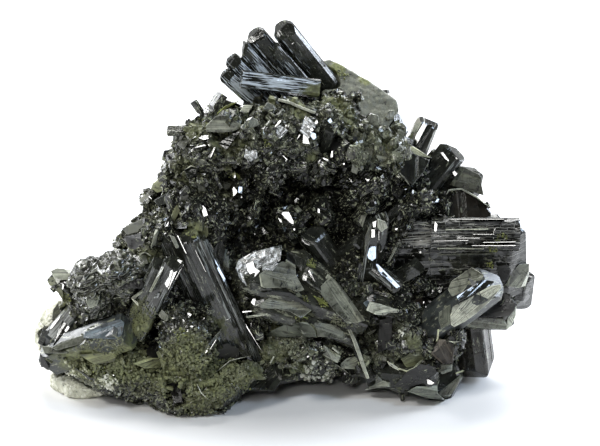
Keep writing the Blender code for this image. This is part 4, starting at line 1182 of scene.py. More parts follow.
plates["light"] = [
    (-6.2, 36.4, -5.2, 36.9, -4, 36.9, -3.6, 36.4, -4.6, 35.9, -5.8, 35.8),
    (0.1, 16.8, 1.3, 16, 1.4, 15, 0, 15.3), (18.8, 34.5, 19.5, 34.7, 19.7, 34.4, 18, 30.5, 17.2, 31),
    (16, 32.6, 16, 33.5, 16.4, 34.5, 16.9, 35, 17.2, 34.7, 16.6, 33.3),
    (21.5, 31.8, 22.4, 31.2, 22.8, 30.3, 22.1, 29.5, 22, 30.4, 21.7, 31.1),
    (11.8, 22.2, 12.8, 21.8, 13.1, 21, 12.3, 20.4, 11.8, 21.1),
    (21.7, 10.4, 22.8, 11, 26.5, 13.2, 27.8, 13.4, 27.9, 12.9, 26.2, 10.8, 24.7, 9.4, 23.4, 8.4, 21.9, 7.6,
     21.5, 8, 21.4, 9.1), (28.8, 8.7, 29.9, 10.5, 29.9, 9.1, 29.4, 7.9, 28.8, 7.2),
    (10.5, 9.9, 10.9, 11.1, 12.1, 10.8, 14.8, 9.9, 14.6, 9.6, 13.5, 9.6, 12.9, 9.2, 11.8, 9.3),
    (-20, 11.6, -19, 10.4, -19.1, 11),
    (7.9, 7.8, 8.3, 7.7, 9.2, 5.8, 10.1, 3.3, 11, 0.5, 10.6, 0.5, 10.1, 1.7, 9.2, 4.4, 8.8, 5.6),
    (13.2, 3, 13.9, 2.6, 15, 1.8, 14.8, 1.6, 13.6, 2.3), (-1.4, 10.9, -0.9, 11, 2.9, 9.4, -0.4, 10),
]
plates["etched"] = [
    (-6, 16.7, -4.1, 17.8, -0.4, 18.7, -0.6, 16.6, -2.6, 15.3, -4.1, 14.3, -4.7, 12.8, -5.9, 14.2,
     -6.4, 15.6), (1.4, 35.2, 2.6, 35.6, 4.0, 34.4, 4.2, 33.0, 3.0, 32.6, 1.8, 33.6),
    (-2.0, 33.6, -0.6, 34.4, 0.4, 33.6, -0.6, 32.6), (-17.0, 11.6, -16.6, 12.3, -16.1, 12.2, -16.6, 11.5),
    (-19.4, 7.7, -19.0, 7.9, -18.9, 7.2, -19.3, 7.0),
    (-4.9, 31.6, -3.6, 31.2, -3.4, 30.2, -4.4, 29.6, -5.2, 30.2),
    (-2.9, 15.4, -1.6, 16.4, -0.8, 16.2, -1.6, 15.2),
]
plates["pale"] = [
    (15, 32, 16.2, 31.6, 18.5, 30.1, 18.3, 29.9, 17, 30.4, 14.8, 31.4),
]
plates["grey"] = [
    # crown
    (-9.9, 33.5, -10, 34.2, -9, 35.2, -8.5, 35.6, -7.4, 35.7, -6.2, 34.9, -5.2, 34.2, -6.4, 33.6, -8, 33.4),
    (-5.4, 34.2, -4.8, 34.9, -4, 35.3, -3.4, 35, -3.2, 34.4, -4.2, 33.9, -5.4, 33.8),
    (5, 28.6, 5.3, 28.9, 5.9, 28.6, 5.7, 28.3),
    (9.8, 30, 10.3, 32, 10.6, 32.4, 11.3, 32.2, 11.2, 31, 10.7, 29.6, 10.2, 29.4),
    (2.8, 31.4, 3.2, 31.7, 5.4, 30.4, 5.2, 30.1, 3.6, 30.9),
    (11.4, 29.6, 11.2, 31.2, 12.4, 31.6, 13.6, 30.8, 13.8, 30.1, 12, 29.5),
    (8, 29, 8.6, 30.3, 9.6, 30.4, 10.4, 29.2, 9.1, 28, 8.4, 28.3),
    (10.2, 28.6, 11.2, 29, 12.6, 28.9, 12.9, 28.6, 12.2, 28.1, 11, 28.2),
    (14, 33.2, 14.2, 33.8, 14.9, 33.6, 15.4, 33, 15.1, 32.4, 14.2, 32.4),
    (12.6, 35.4, 13, 36.2, 13.7, 36.3, 13.8, 35.3, 13, 35),
    (13.8, 31, 14.7, 31.8, 15.2, 30.7, 14.9, 30.2, 14, 30.4),
    # slope
    (-18.6, 24.6, -18, 25.3, -17, 25.4, -17.2, 24.5, -18, 24),
    (-14.8, 20, -14.2, 19.8, -13.6, 18.4, -14, 18.2), (-8.1, 18.1, -7.3, 18.1, -7.2, 15, -8, 15.4),
    (4.4, 26.2, 4.9, 27.1, 5.4, 27.6, 5.6, 27.2, 5, 26.3, 4.9, 25.2),
    # right
    (17.2, 34.8, 17.4, 35.1, 18.7, 35.2, 19.1, 34.9, 18.6, 34.6),
    (13.2, 21.9, 14.6, 23.4, 14.9, 23.5, 13.5, 21.6),
    (26.3, 22.7, 29.5, 22.5, 29.9, 22, 30.6, 20.8, 28, 21, 27, 21.6),
    (13.2, 16, 14.7, 19, 14.4, 19.1, 13.1, 16.3),
    (21, 12.7, 21.4, 13.8, 24, 15.7, 24.8, 15.2, 25.6, 14.6, 25.1, 13.8, 22.2, 11.8, 21.5, 11.8),
    (24.1, 9, 28.7, 8.7, 28.8, 7.3, 26, 7.4, 22.8, 7.8),
    (31.4, 14.6, 31.8, 13.7, 32.2, 11.8, 32, 11.2, 29.9, 10, 29.9, 11.8),
    (28.4, 13.3, 29.4, 15.3, 30.1, 16.1, 31.4, 16.2, 31.4, 14.6, 31, 13.2, 29.9, 12.9),
    (10.6, 6.8, 11.8, 7.3, 11.5, 6.9, 10.9, 6.5),
    # centre
    (-4, 14.3, -3, 15, -1.4, 16, -0.3, 16.5, 0.8, 16, 1.3, 15.7, 1.4, 14.6, 2, 13.5, 2.5, 12.6, 1.9, 12.2,
     0.1, 13, -2.6, 12.9, -3.7, 13.4),
    (4.1, 15.7, 5.5, 14.8, 7, 13.4, 9, 10.5, 10.4, 8.5, 9.6, 7.4, 8.1, 8, 6.4, 9.8, 4.8, 11.8, 4.3, 13.1),
    (-3, 11.6, -1.4, 12.1, -0.1, 11.8, 1.7, 11, 3.4, 9.9, 2.9, 9.1, 2.1, 8.8, 0.6, 9.7, -1, 10.1,
     -3.9, 10.2), (-5.1, 9.1, -1.9, 9.5, -1.8, 9.3, -4.9, 8.8),
    (1.4, 7.6, 2.5, 8.2, 3.8, 7.1, 4, 6.3, 2.4, 6.6, 1.5, 7),
    (3.4, 8.3, 5.9, 8, 7, 7.5, 8, 6.4, 7.3, 5.8, 6, 6.2, 4.2, 6.3, 4.1, 7.2),
    (-16.5, 9.2, -16, 10, -15.1, 9.1, -15.4, 8.4, -16, 8.7),
    # low left
    (-30.2, 15.2, -29.4, 15.6, -28.4, 15.5, -26.9, 15.2, -27.1, 14.2, -27.9, 14, -29, 14, -29.4, 13.4),
    (-25.7, 11.8, -24.8, 12.8, -24, 12.6, -24, 11.5, -24.4, 10.5, -25.3, 10.2, -25.8, 11),
    # foot
    (5, 5.2, 5.7, 4.8, 7.2, 3.6, 6.8, 2.6, 4.9, 3.8),
    (7.2, 2.5, 8, 3.3, 9, 3.6, 9.7, 3, 9.8, 2.3, 9, 1.8, 7.4, 1.9),
    (11.9, 1.1, 12.7, 0.2, 13.9, -0.1, 14, -0.6, 12.2, -0.8, 10.4, -1.1, 11.8, -0.2),
    (19.9, 2.5, 21.8, 2.5, 21.8, 1.6, 20.5, 1.1, 20, 1.6),
    (12, 3.6, 12.4, 3.8, 13.2, 3.4, 13.2, 3, 12.5, 3.1),
]
plates["dim"] = [
    # crown
    (-9.8, 37.5, -9.2, 38, -7, 38, -6.6, 37.4, -8, 36.4, -9.4, 36),
    (-7.4, 35.7, -6.9, 36.1, -6, 35.8, -5.5, 35, -6.2, 34.9),
    (-13.4, 33, -12.4, 33.6, -11.6, 33, -11.8, 31.6, -12.8, 31.2, -13.6, 31.8),
    (3.4, 28.6, 3.8, 29.2, 4.4, 28.7, 3.9, 28),
    (-2.8, 36.4, -2.2, 37.3, -1.4, 36.9, -1.2, 36.2, -1.8, 35.8),
    (12.5, 32.4, 13, 33.3, 13.5, 32.9, 13.4, 31.4, 12.8, 31.7),
    (14, 35, 14.2, 36, 14.9, 35.8, 15.2, 34.9, 15, 34.4, 14.1, 34.6),
    (-18.8, 23.4, -18.2, 23.6, -17.6, 23, -17.8, 22.4),
    (-12, 26.6, -11.2, 27.6, -10.4, 27.4, -9.9, 26.2, -10, 25.2, -11, 25.6),
    (-9, 27.2, -8.4, 27.3, -6.8, 26.7, -7.2, 26, -8.6, 26.4),
    (-13.6, 25.6, -13, 26.2, -12.2, 26.1, -11.8, 25.4, -12.4, 24.6, -13.4, 24.6),
    (6.1, 22, 6.2, 22.8, 6.6, 22.9, 6.6, 21.9), (9, 22.1, 9.1, 22.8, 9.4, 22.7, 9.2, 22),
    (6.2, 17.4, 8, 18.5, 9.4, 19, 10.1, 19.8, 8.8, 18.3, 7.4, 17.5),
    (-5.6, 12.9, -4.5, 12.1, -3, 12.3, -3.9, 13.1),
    (28.7, 18, 30.1, 19.6, 30.9, 20.6, 31.3, 19.3, 31.4, 16.4, 30, 16.2, 29.3, 15.3),
    (-31.8, 5, -28, 4.7, -28.2, 4, -31.5, 4),
    (-10, 6.6, -8.2, 7.5, -9.1, 5.9, -10.4, 4.3, -11.3, 3.2, -10, 5.4),
    (19.9, 1.1, 23, 1.1, 22.8, 0, 22.2, -1.2, 21.3, -2.5, 20, -1.6),
]
plates["dark"] = [
    (-14.6, 30.4, -13.9, 31.3, -13.5, 30.9, -14.2, 30.2),
    (-12.8, 28.6, -11.9, 29.1, -10.9, 28.7, -11.3, 28, -12.3, 27.5),
    (-16, 25.9, -14.5, 25.8, -13.8, 24.6, -14.8, 23.6, -16.2, 23.8, -16.7, 24.6),
    (-32.3, 5.4, -31.5, 7.4, -30.7, 7, -31.7, 5),
    (-14.4, 21, -13.8, 21.6, -12.6, 21.7, -12.2, 21.3, -12.6, 20.9, -14, 20.8),
    (18, 34.5, 18.7, 34.4, 17.1, 31.3, 16.5, 31.6),
    (0.1, 17.8, 0.9, 17.6, 2, 17, 2.8, 16.5, 2.6, 15.8, 2.1, 15.2, 1.4, 16, 0.2, 16.6),
    (-5.5, -0.6, -3.7, 1.3, -2, 2.3, 0.1, 4.3, 1.1, 4.8, 1.1, 0.7, -0.6, 0.1, -1.5, -1.3, -4.8, -1.1),
]
# black sheets over hollows and seams: painted shade
plates["black"] = [
    (4.1, 33, 5.8, 32.9, 7, 31.9, 7, 29.6, 6.3, 29.6, 6.2, 31.2, 4.2, 31.4),
    (8.4, 33.1, 8.8, 33.5, 9.3, 33.2, 9.4, 32.4, 9, 31.9, 8.5, 32.4),
    (-20.6, 19.8, -18.2, 20.3, -17.6, 19.4, -18.4, 18, -20, 18.1),
    (-3.2, 12.3, -1.4, 12.5, 0.6, 12.3, 3.4, 10.5, 3.3, 10, 0.4, 11.8, -1.5, 12),
    (25.9, 10.3, 27.9, 12.9, 29.9, 10.8, 29.7, 10, 29.1, 9.1, 27.3, 8.9, 24.2, 9),
    (27.2, 15.8, 28.6, 16.1, 29.1, 15.3, 28.7, 14, 27.7, 13.7),
    (-21.7, 14.2, -18.4, 14.1, -18.2, 12.9, -21.2, 12.8),
    (-32.6, 4.2, -32.1, 4, -31.4, 3.1, -29.9, 2.2, -30.9, 1.9, -32, 2.1),
    (-9, 2.9, -9, 5, -7.6, 5.4, -6, 4.6, -6.2, 3.2),
    (-15.8, 0, -13.8, 0, -13.5, -2.8, -14.7, -3, -15, -1.7),
    (-17.6, 5.4, -16, 5.6, -16, 3.6, -17.3, 3.4, -18.3, 4), (12, 4, 12.2, 8.6, 13.8, 9, 14, 5),
    (14, 1.7, 16, 1.5, 17.7, 2.5, 19.6, 2.1, 19.8, 1.2, 19.7, -0.2, 18.5, 0.4, 17.9, -0.2, 16, -0.8,
     14.1, -0.6),
]
plates["olive"] = [
    (-13.2, 33.9, -12.2, 34.8, -11, 34.9, -10.1, 35.2, -10, 34, -11.2, 33.8),
    (-17.1, 26, -16.8, 26.8, -16, 27.4, -15, 27.4, -14.4, 26.8, -14.8, 26.1, -16.2, 25.6),
    (-14.6, 22.3, -14, 23.8, -13.5, 24.5, -13.1, 24.2, -13.5, 23, -14.3, 21.6, -14.8, 21.2),
    (15.4, 32.8, 16.2, 33.4, 16.1, 32.9, 15.8, 32.1),
    (-11.9, 20.8, -11.9, 21.6, -11, 22.1, -10, 21.7, -9.8, 20.2, -10.4, 19, -11.2, 19.4),
    (-29.9, 14.2, -29.4, 13.3, -29.3, 12.1, -29, 11.2, -28.7, 11.1, -28.8, 13.3),
    (-20, 2.6, -18, 3.4, -15.8, 3.3, -15.9, 2.1, -18.3, 1.9),
    (16, 3.8, 17, 4.7, 18.9, 4.4, 18.5, 3.6, 17.4, 2.8, 16.6, 1.8, 15.7, 2.2, 15.1, 3.2),
]
plates["oliveDark"] = [
    (-20.9, 20.9, -20, 21.3, -18.4, 22.1, -17.4, 22.2, -17.2, 21.2, -18.8, 20.4, -20.2, 20),
    (-19, 16.7, -18.5, 17.6, -18, 17.8, -17.2, 17.3, -17.6, 16.2, -18.4, 16.1),
    (-30.5, 9.4, -30.1, 10, -29.4, 10.9, -28.9, 10.5, -29.1, 9.2, -30.3, 8.6),
]
plates["blue"] = [
    (-0.2, 21.3, 0.1, 21.2, 0, 20.4, -0.3, 21), (10.1, 10.9, 10.7, 11.3, 10.8, 11.1, 10.5, 10.3),
]
plates["teal"] = [
    (-2.6, 6.2, -1.8, 7.1, -0.4, 7.8, 1.1, 8, 2.1, 8.3, 2.9, 8.2, 3.9, 7, 4, 6.2),
    (19.9, 9.6, 21.4, 10.7, 21.4, 8, 20.3, 7.3, 19.9, 8.4),
    (16, -1.3, 17.2, -0.6, 18.7, -0.6, 19.9, -0.4, 20, -1.6, 21, -2.5, 18.5, -2.2),
]
plates["brown"] = [
    (19, 4, 20, 5.9, 21, 5.9, 21.9, 5.6, 22, 4.4, 21.9, 2.6, 20.5, 2.6, 19.6, 3.3),
    (16.2, 11.1, 17.7, 11.7, 17.8, 10.5, 16.9, 10, 16.2, 10.5),
]

# plates with striae: the kind, the direction of the striae, and the corners
linedPlates = [
    ("white", (0.5, 0.85), (-9.8, 30.2, -9, 31.5, -8.7, 31.6, -8.8, 30.9, -9.3, 30)),
    ("white", (0.55, 0.8), (-15.8, 21.4, -15.2, 22.1, -14.7, 22.6, -14.4, 22.2, -15, 21.2, -15.5, 21)),
    ("white", (0.35, 1), (0, 26.4, 0.4, 27.4, 0.8, 27.6, 0.4, 26.5)),
    ("white", (0.35, 1), (0.9, 26.2, 1.2, 27.1, 1.4, 27.2, 1.2, 26.3)),
    ("dim", (1, 0.4), (-30.5, 4.8, -29.2, 5.6, -26.6, 6.4, -25.2, 7.2, -24.8, 6.4, -27, 5.2, -29.8, 4.4)),
    ("white", (1, -0.75), (1.6, 14.9, 2.8, 15.3, 3.1, 15.3, 4.6, 13.9, 4.2, 13.1, 3.8, 13)),
    ("cool", (1, -0.93), (11.6, 16.2, 12, 16.1, 13.2, 15, 14.3, 13.9, 14.9, 13.1, 14.2, 12.7, 13, 13.9,
                          12, 15)),
    ("white", (0.55, 0.83), (-31.3, 5, -30.3, 5, -28, 7.5, -28.1, 8.5, -28.9, 8.5, -29.4, 7.5)),
    ("cool", (0.5, -0.85), (-10.5, 19.1, -9.9, 19.8, -7.9, 15.2, -7, 12.8, -7.4, 12.6, -8.7, 15.2)),
    ("cool", (0.82, 0.57), (22.1, 11.8, 22.4, 12, 25.6, 14.1, 26, 14, 27, 13.8, 26.5, 13.2, 23.8, 11.8,
                            22.4, 11)),
    ("grey", (0.3, 1), (10.4, 35.4, 10.8, 35.8, 11.7, 35.6, 11.9, 34.6, 11.6, 33.6, 10.7, 33.3,
                        10.4, 34.6)),
    ("grey", (0.35, 1), (9.2, 31, 9.8, 33.2, 10.3, 33.8, 10.7, 33.2, 10.4, 31.9, 9.9, 30.2, 9.5, 30.4)),
    ("grey", (0.5, 0.85), (-17.6, 19, -16.6, 20.8, -16, 21.3, -15.8, 20.4, -16.6, 18.8, -17.3, 18.2)),
    ("grey", (0.45, 1), (9.4, 21.8, 10.4, 23.9, 11.4, 26, 11.9, 26.2, 11.2, 24.6, 10.3, 22.4, 9.9, 21)),
    ("grey", (0.8, 0.5), (-20, 11.6, -18.5, 12.7, -18.4, 12.4, -19.5, 11.4)),
    ("grey", (0.5, 0.86), (-17.6, 12.4, -15.3, 17.1, -15, 17, -17.3, 12.3)),
    ("dim", (1, -0.15), (21.9, 29, 22.7, 28.9, 24.6, 28, 24.9, 27.6, 25, 26.4, 25.3, 25.2, 22.1, 26.3,
                         20.9, 26.6, 21.5, 27.6)),
    ("dim", (0.25, 1), (10.2, 19.7, 11, 21.7, 11.1, 20.9, 10.9, 19.5, 10.3, 18.1)),
    ("dark", (1, -0.2), (-8.8, 33.3, -6.4, 33.4, -5.6, 33.6, -6.4, 32.6, -7.4, 31.2, -8.5, 32)),
    ("dark", (0.05, 1), (14.8, 31.3, 17, 30.4, 18.3, 29.8, 17.9, 29, 17.6, 28.3, 16.2, 26.6, 14.6, 28.1)),
    ("blue", (0.93, 0.36), (-27.5, 6.3, -26.1, 6.9, -23.8, 7.9, -21.5, 8.7, -20.9, 8.2, -20.6, 7.2,
                            -21.3, 6.5, -22.1, 6, -24, 6, -26.3, 6.1)),
    ("olive", (1, 0.3), (-27.6, 4.6, -21.8, 4.1, -22.4, 2.8, -23.3, 1.9, -24.9, 2.4, -27, 3.8)),
]

# thin edges: the kind, the width, and the points along; the light ones are painted highlights along edges,
# the white and cool ones mirror a lamp
edges = [
    ("light", 0.35, (-0.8, 37.6, 0.4, 37.3, 2, 36.6, 3.8, 35.9)),
    ("light", 0.25, (14.5, 28.4, 15.2, 27.4, 15.8, 26.4)),
    ("light", 0.22, (20.4, 25.3, 20.8, 25.9, 22.4, 26.1, 24.4, 25, 26, 23.6)),
    ("light", 0.2, (6.1, 4.8, 7, 4)), ("light", 0.15, (4.9, 3.6, 7.4, 1.9, 8.5, 0.9)),
    ("light", 0.16, (21.1, 5.8, 22, 5.5, 22.9, 5.6)),
    ("light", 0.16, (-14.6, 30.5, -13.9, 31.3, -13.5, 30.9)),
    ("light", 0.16, (-12.8, 28.6, -11.9, 29.1, -10.9, 28.7)),
    ("light", 0.16, (-14.4, 21, -13.8, 21.6, -12.6, 21.7)), ("white", 0.14, (-11.9, 18.8, -10.2, 15)),
    ("white", 0.14, (26.9, 21, 26.6, 20.1)), ("white", 0.14, (-0.1, 14.5, 0.4, 14.9)),
    ("white", 0.14, (12.3, 17.7, 12.3, 18.6)), ("white", 0.14, (12, 19.3, 12, 20.6)),
    ("white", 0.14, (-14.2, 14, -13.1, 16.1)), ("white", 0.12, (22, 28.3, 22.4, 28.7)),
    ("white", 0.16, (-10, 4.3, -9, 5.9)), ("white", 0.16, (-5.8, 9.3, -4.9, 7.5, -3.2, 4.3)),
    # bundle
    ("white", 0.14, (20, 22.1, 28, 22.1)), ("white", 0.14, (24, 20.1, 26.8, 20.1)),
    ("white", 0.14, (22, 19.6, 25, 19.6)), ("white", 0.14, (19, 19.2, 23.5, 19.3)),
    ("white", 0.16, (24, 19, 29.6, 19.1)), ("white", 0.16, (20, 18.6, 29.6, 18.6)),
    ("light", 0.16, (19.5, 18.2, 25.5, 18.2)), ("light", 0.14, (20.5, 20.7, 26, 20.8)),
    ("dim", 0.2, (19.4, 17.4, 27, 17.5)),
    # seams
    ("moss", 0.5, (0.6, 10.2, 1.6, 9.4, 2.8, 8.5)), ("moss", 0.6, (3.8, 12.1, 4.6, 11.2, 5.4, 10.2)),
    ("moss", 0.5, (2.7, 16.4, 3.3, 15.9, 3.8, 15.4)), ("moss", 0.35, (-9.5, 35.2, -7.5, 36.6, -5, 37.6)),
    ("moss", 0.5, (-6.2, 28.4, -6, 27.8, -5.8, 27.2)), ("moss", 0.4, (3.1, 21.8, 3.8, 21.3)),
    # left lumps
    ("light", 0.3, (-25.8, 16.2, -23.2, 17.4)), ("light", 0.25, (-25.2, 15.8, -22, 16.6, -20.2, 17.6)),
    ("light", 0.2, (-23.2, 16, -21.3, 16.6)),
    ("light", 0.22, (-20, 17.6, -19.3, 17.2, -19.2, 16.6, -19.5, 16)),
    ("grey", 0.22, (-26.4, 15.2, -26.7, 13.8, -26.3, 12.2)),
    ("grey", 0.22, (-25.9, 15.8, -26.2, 14.2, -25.7, 12.6)),
    ("grey", 0.22, (-25.3, 15.8, -25.6, 14.6, -25.2, 13.2)),
    ("grey", 0.2, (-24.6, 16, -24.9, 14.9, -24.6, 13.8)),
    ("grey", 0.2, (-23.6, 15.6, -23.4, 14.4, -23.6, 13)),
    ("grey", 0.2, (-22.4, 15.8, -22, 14.8, -22.2, 13.6)),
    ("grey", 0.2, (-21, 16.2, -20.6, 15.2, -20.8, 14.4)), ("cool", 0.2, (-31.6, 3.5, -30.5, 2.6)),
    ("dark", 0.35, (-27.4, 2.1, -25.7, 0.5, -24.9, 0.2)),
    ("light", 0.16, (-11.6, -0.1, -11.1, -1.5, -10.1, -2.6)),
    ("light", 0.16, (-9.1, 1.5, -7.2, 3, -4, 3.7)), ("light", 0.16, (-2, 2.6, -1.5, 3.6)),
    ("pale", 0.2, (14.8, 1.9, 15.9, 1.5, 16.8, 1.9, 17.9, 3.2)),
    ("pale", 0.2, (18.9, 4, 19.4, 4.9, 19.8, 5.9, 19.9, 7.3)), ("pale", 0.2, (22.3, 1.2, 23.3, 1.6)),
    ("light", 0.2, (21.4, 13.8, 24, 15.6, 25.6, 14.6)),
    ("light", 0.16, (-19, 16.7, -18.5, 17.5, -18, 17.7, -17.2, 17.2)),
    ("light", 0.16, (16.8, 25.7, 17.7, 25.1)), ("black", 0.16, (28, 22.1, 27.4, 21.3)),
    ("black", 0.2, (23.3, 11, 22.9, 9.1)), ("black", 0.2, (25.1, 12.5, 25.3, 11.8, 25, 10.3)),
    ("dark", 0.16, (-8.3, -0.4, -7.2, -1.6)), ("dark", 0.16, (-7.2, -0.2, -6.3, -1.2)),
]

plainPlate = {"across": (1, 0, 0), "gap": 99.0, "step": 0.0, "bevel": 0.05, "chips": 0}
linedPlate = {"across": (1, 0, 0), "gap": 0.2, "step": 0.05, "bevel": 0.05, "chips": 0}
# how far a plate stands proud, by what it lies on, more for each plate under it and for a bent surface
plateRise = {"mass": 0.22, "bright": 0.5, "other": 0.12, "layer": 0.07, "most": 0.6}
brightKinds = ("white", "cool", "light")


def alongEdge(points, width):
    # the outline of a band of this width along a few points
    left, right = [], []
    for number, here in enumerate(points):
        before, after = points[max(number - 1, 0)], points[min(number + 1, len(points) - 1)]
        along = (Vector(after) - Vector(before)).normalized()
        off = Vector((-along.y, along.x)) * width / 2
        left.append(tuple(Vector(here) + off))
        right.append(tuple(Vector(here) - off))
    return left + right[::-1]


def pairs(row):
    # x, z, x, z ... as corners
    return list(zip(row[::2], row[1::2]))


def middleOf(corners):
    return sum(c[0] for c in corners) / len(corners), sum(c[1] for c in corners) / len(corners)


def spreadOf(corners):
    # how far the corners are from their middle, on the average
    middle = middleOf(corners)
    return sum(math.dist(c, middle) for c in corners) / len(corners)


def allPlates():
    # kind, corners and direction of the striae of every plate, the widest first
    listed = [(kind, pairs(row), None) for kind, rows in plates.items() for row in rows]
    listed += [(kind, pairs(row), lines) for kind, lines, row in linedPlates]
    listed += [(kind, alongEdge(pairs(row), width), None) for kind, width, row in edges]
    return sorted(listed, key=lambda plate: -spreadOf(plate[1]))


def layPlate(kind, corners, under):
    # the plane of a plate: through the surface seen at its middle, raised until its corners are clear
    x, z = middleOf(corners)
    spot, normal, owner = meets(Vector((x, 0, z)))
    if spot is None:
        return None
    toEye = (eye - spot).normalized()
    facing = (normal + toEye * 0.7).normalized()
    if kind in ("white", "cool", "etched"):
        way = Vector(lamps["coolLamp" if kind == "cool" else "keyLamp"][0]).normalized()
        facing = ((toReading @ (way * lampReach) - spot).normalized() + toEye).normalized()
    hits = [meets(Vector((cx, 0, cz)))[0] for cx, cz in corners]
    if hits.count(None) > 0.3 * len(hits):
        return None
    forward = [(hit - spot).dot(facing) for hit in hits if hit is not None] + [0.0]
    rise = plateRise["other" if owner != "crystal_mass" else "bright" if kind in brightKinds else "mass"]
    rise += min(max(forward), plateRise["most"]) + plateRise["layer"] * under
    return {"outline": corners, "at": spot + facing * rise, "facing": facing, "owner": owner,
            "depth": rise + 0.8 + min(-min(forward), 2.0)}


def longWay(corners):
    # the direction between the two corners that are farthest apart
    a, b = max(((a, b) for a in corners for b in corners), key=lambda pair: math.dist(*pair))
    return b[0] - a[0], b[1] - a[1]


def paintPlate(mesh, kind, facing, shade):
    # the kind's colour, lighter on the narrow rim as a painted highlight
    colour, rough = plateKinds[kind]
    highlightLift, highlightAdded = 1.9, 0.03
    paint = mesh.attributes.new("paint", "FLOAT_COLOR", "FACE")
    for polygon in mesh.polygons:
        # a painted highlight on the narrow rim faces
        litRim = 0.2 < polygon.normal.dot(facing) < 0.9 and kind != "black"
        colours = [c * shade * (highlightLift if litRim else 1.0) + highlightAdded * litRim for c in colour]
        paint.data[polygon.index].color = colours + [1.0]
    setPoints(mesh, "rough", np.full(len(mesh.vertices), rough))


def makePlates(rng):
    groups, laid = {}, []
    for kind, corners, lines in allPlates():
        x, z = middleOf(corners)
        under = sum(inside(other, x, z) for other in laid)
        laid.append(corners)
        spec = layPlate(kind, corners, under)
        if spec is None:
            print("no surface behind a", kind, "plate at", round(x, 1), round(z, 1))
            continue
        along = lines or longWay(corners)
        style = dict(linedPlate if lines else plainPlate, across=(-along[1], 0, along[0]))
        if math.dist(corners[0], (x, z)) > 1.2 and kind in ("grey", "dim", "olive", "teal", "brown"):
            style.update(gap=rng.uniform(0.5, 0.9), step=0.09, chips=2)
        plate = ridgedPlate(rng, spec, style)
        paintPlate(plate.data, kind, spec["facing"], rng.uniform(0.8, 1.2))
        title = {"white": "Mirrors", "cool": "Mirrors", "etched": "Etched"}.get(kind, "Plates")
        groups.setdefault((spec["owner"], title), []).append(plate)
    skins = {"Plates": plateSkin(), "Mirrors": crystalSkin("mirrorFacets", facetGlass),
             "Etched": crystalSkin("etchedFacets", etchedGlass)}
    for (owner, title), made in groups.items():
        piece = settle(joinUp(made, owner + title), skins[title])
        print(piece.name, "has", len(made), "plates and", len(piece.data.polygons), "faces")


def coveredCells():
    # cells of a grid, as seen from the eye, that the plates cover
    cells = set()
    for kind, corners, _ in allPlates():
        xs, zs = [c[0] for c in corners], [c[1] for c in corners]
        own = set()
        for i in range(round(min(xs) / plateCell), round(max(xs) / plateCell) + 1):
            for j in range(round(min(zs) / plateCell), round(max(zs) / plateCell) + 1):
                if inside(corners, i * plateCell, j * plateCell):
                    own.add((i, j))
        if kind in brightKinds:
            own.update((round(x / plateCell), round(z / plateCell)) for x, z in corners)
        else:  # small crystals grow over the border
            own = {(i, j) for i, j in own if {(i - 1, j), (i + 1, j), (i, j - 1), (i, j + 1)} <= own}
        cells |= own
    return cells


plateCell = 0.2  # side of a cell of the grid
covered = coveredCells()


def clearOfPlates(point):
    # whether no plate covers the point, as seen from the eye
    place = ahead(point)
    return (round(place.x / plateCell), round(place.z / plateCell)) not in covered


# Druse: small crystals in groups, as seen from the eye, and thinner all over the mass

def halfway(lamp):
    # the way a face looks to mirror a lamp to the eye
    return Vector(lamps[lamp][0]).normalized() + (eye - lookAt).normalized()


keyFace, coolFace = halfway("keyLamp"), halfway("coolLamp")

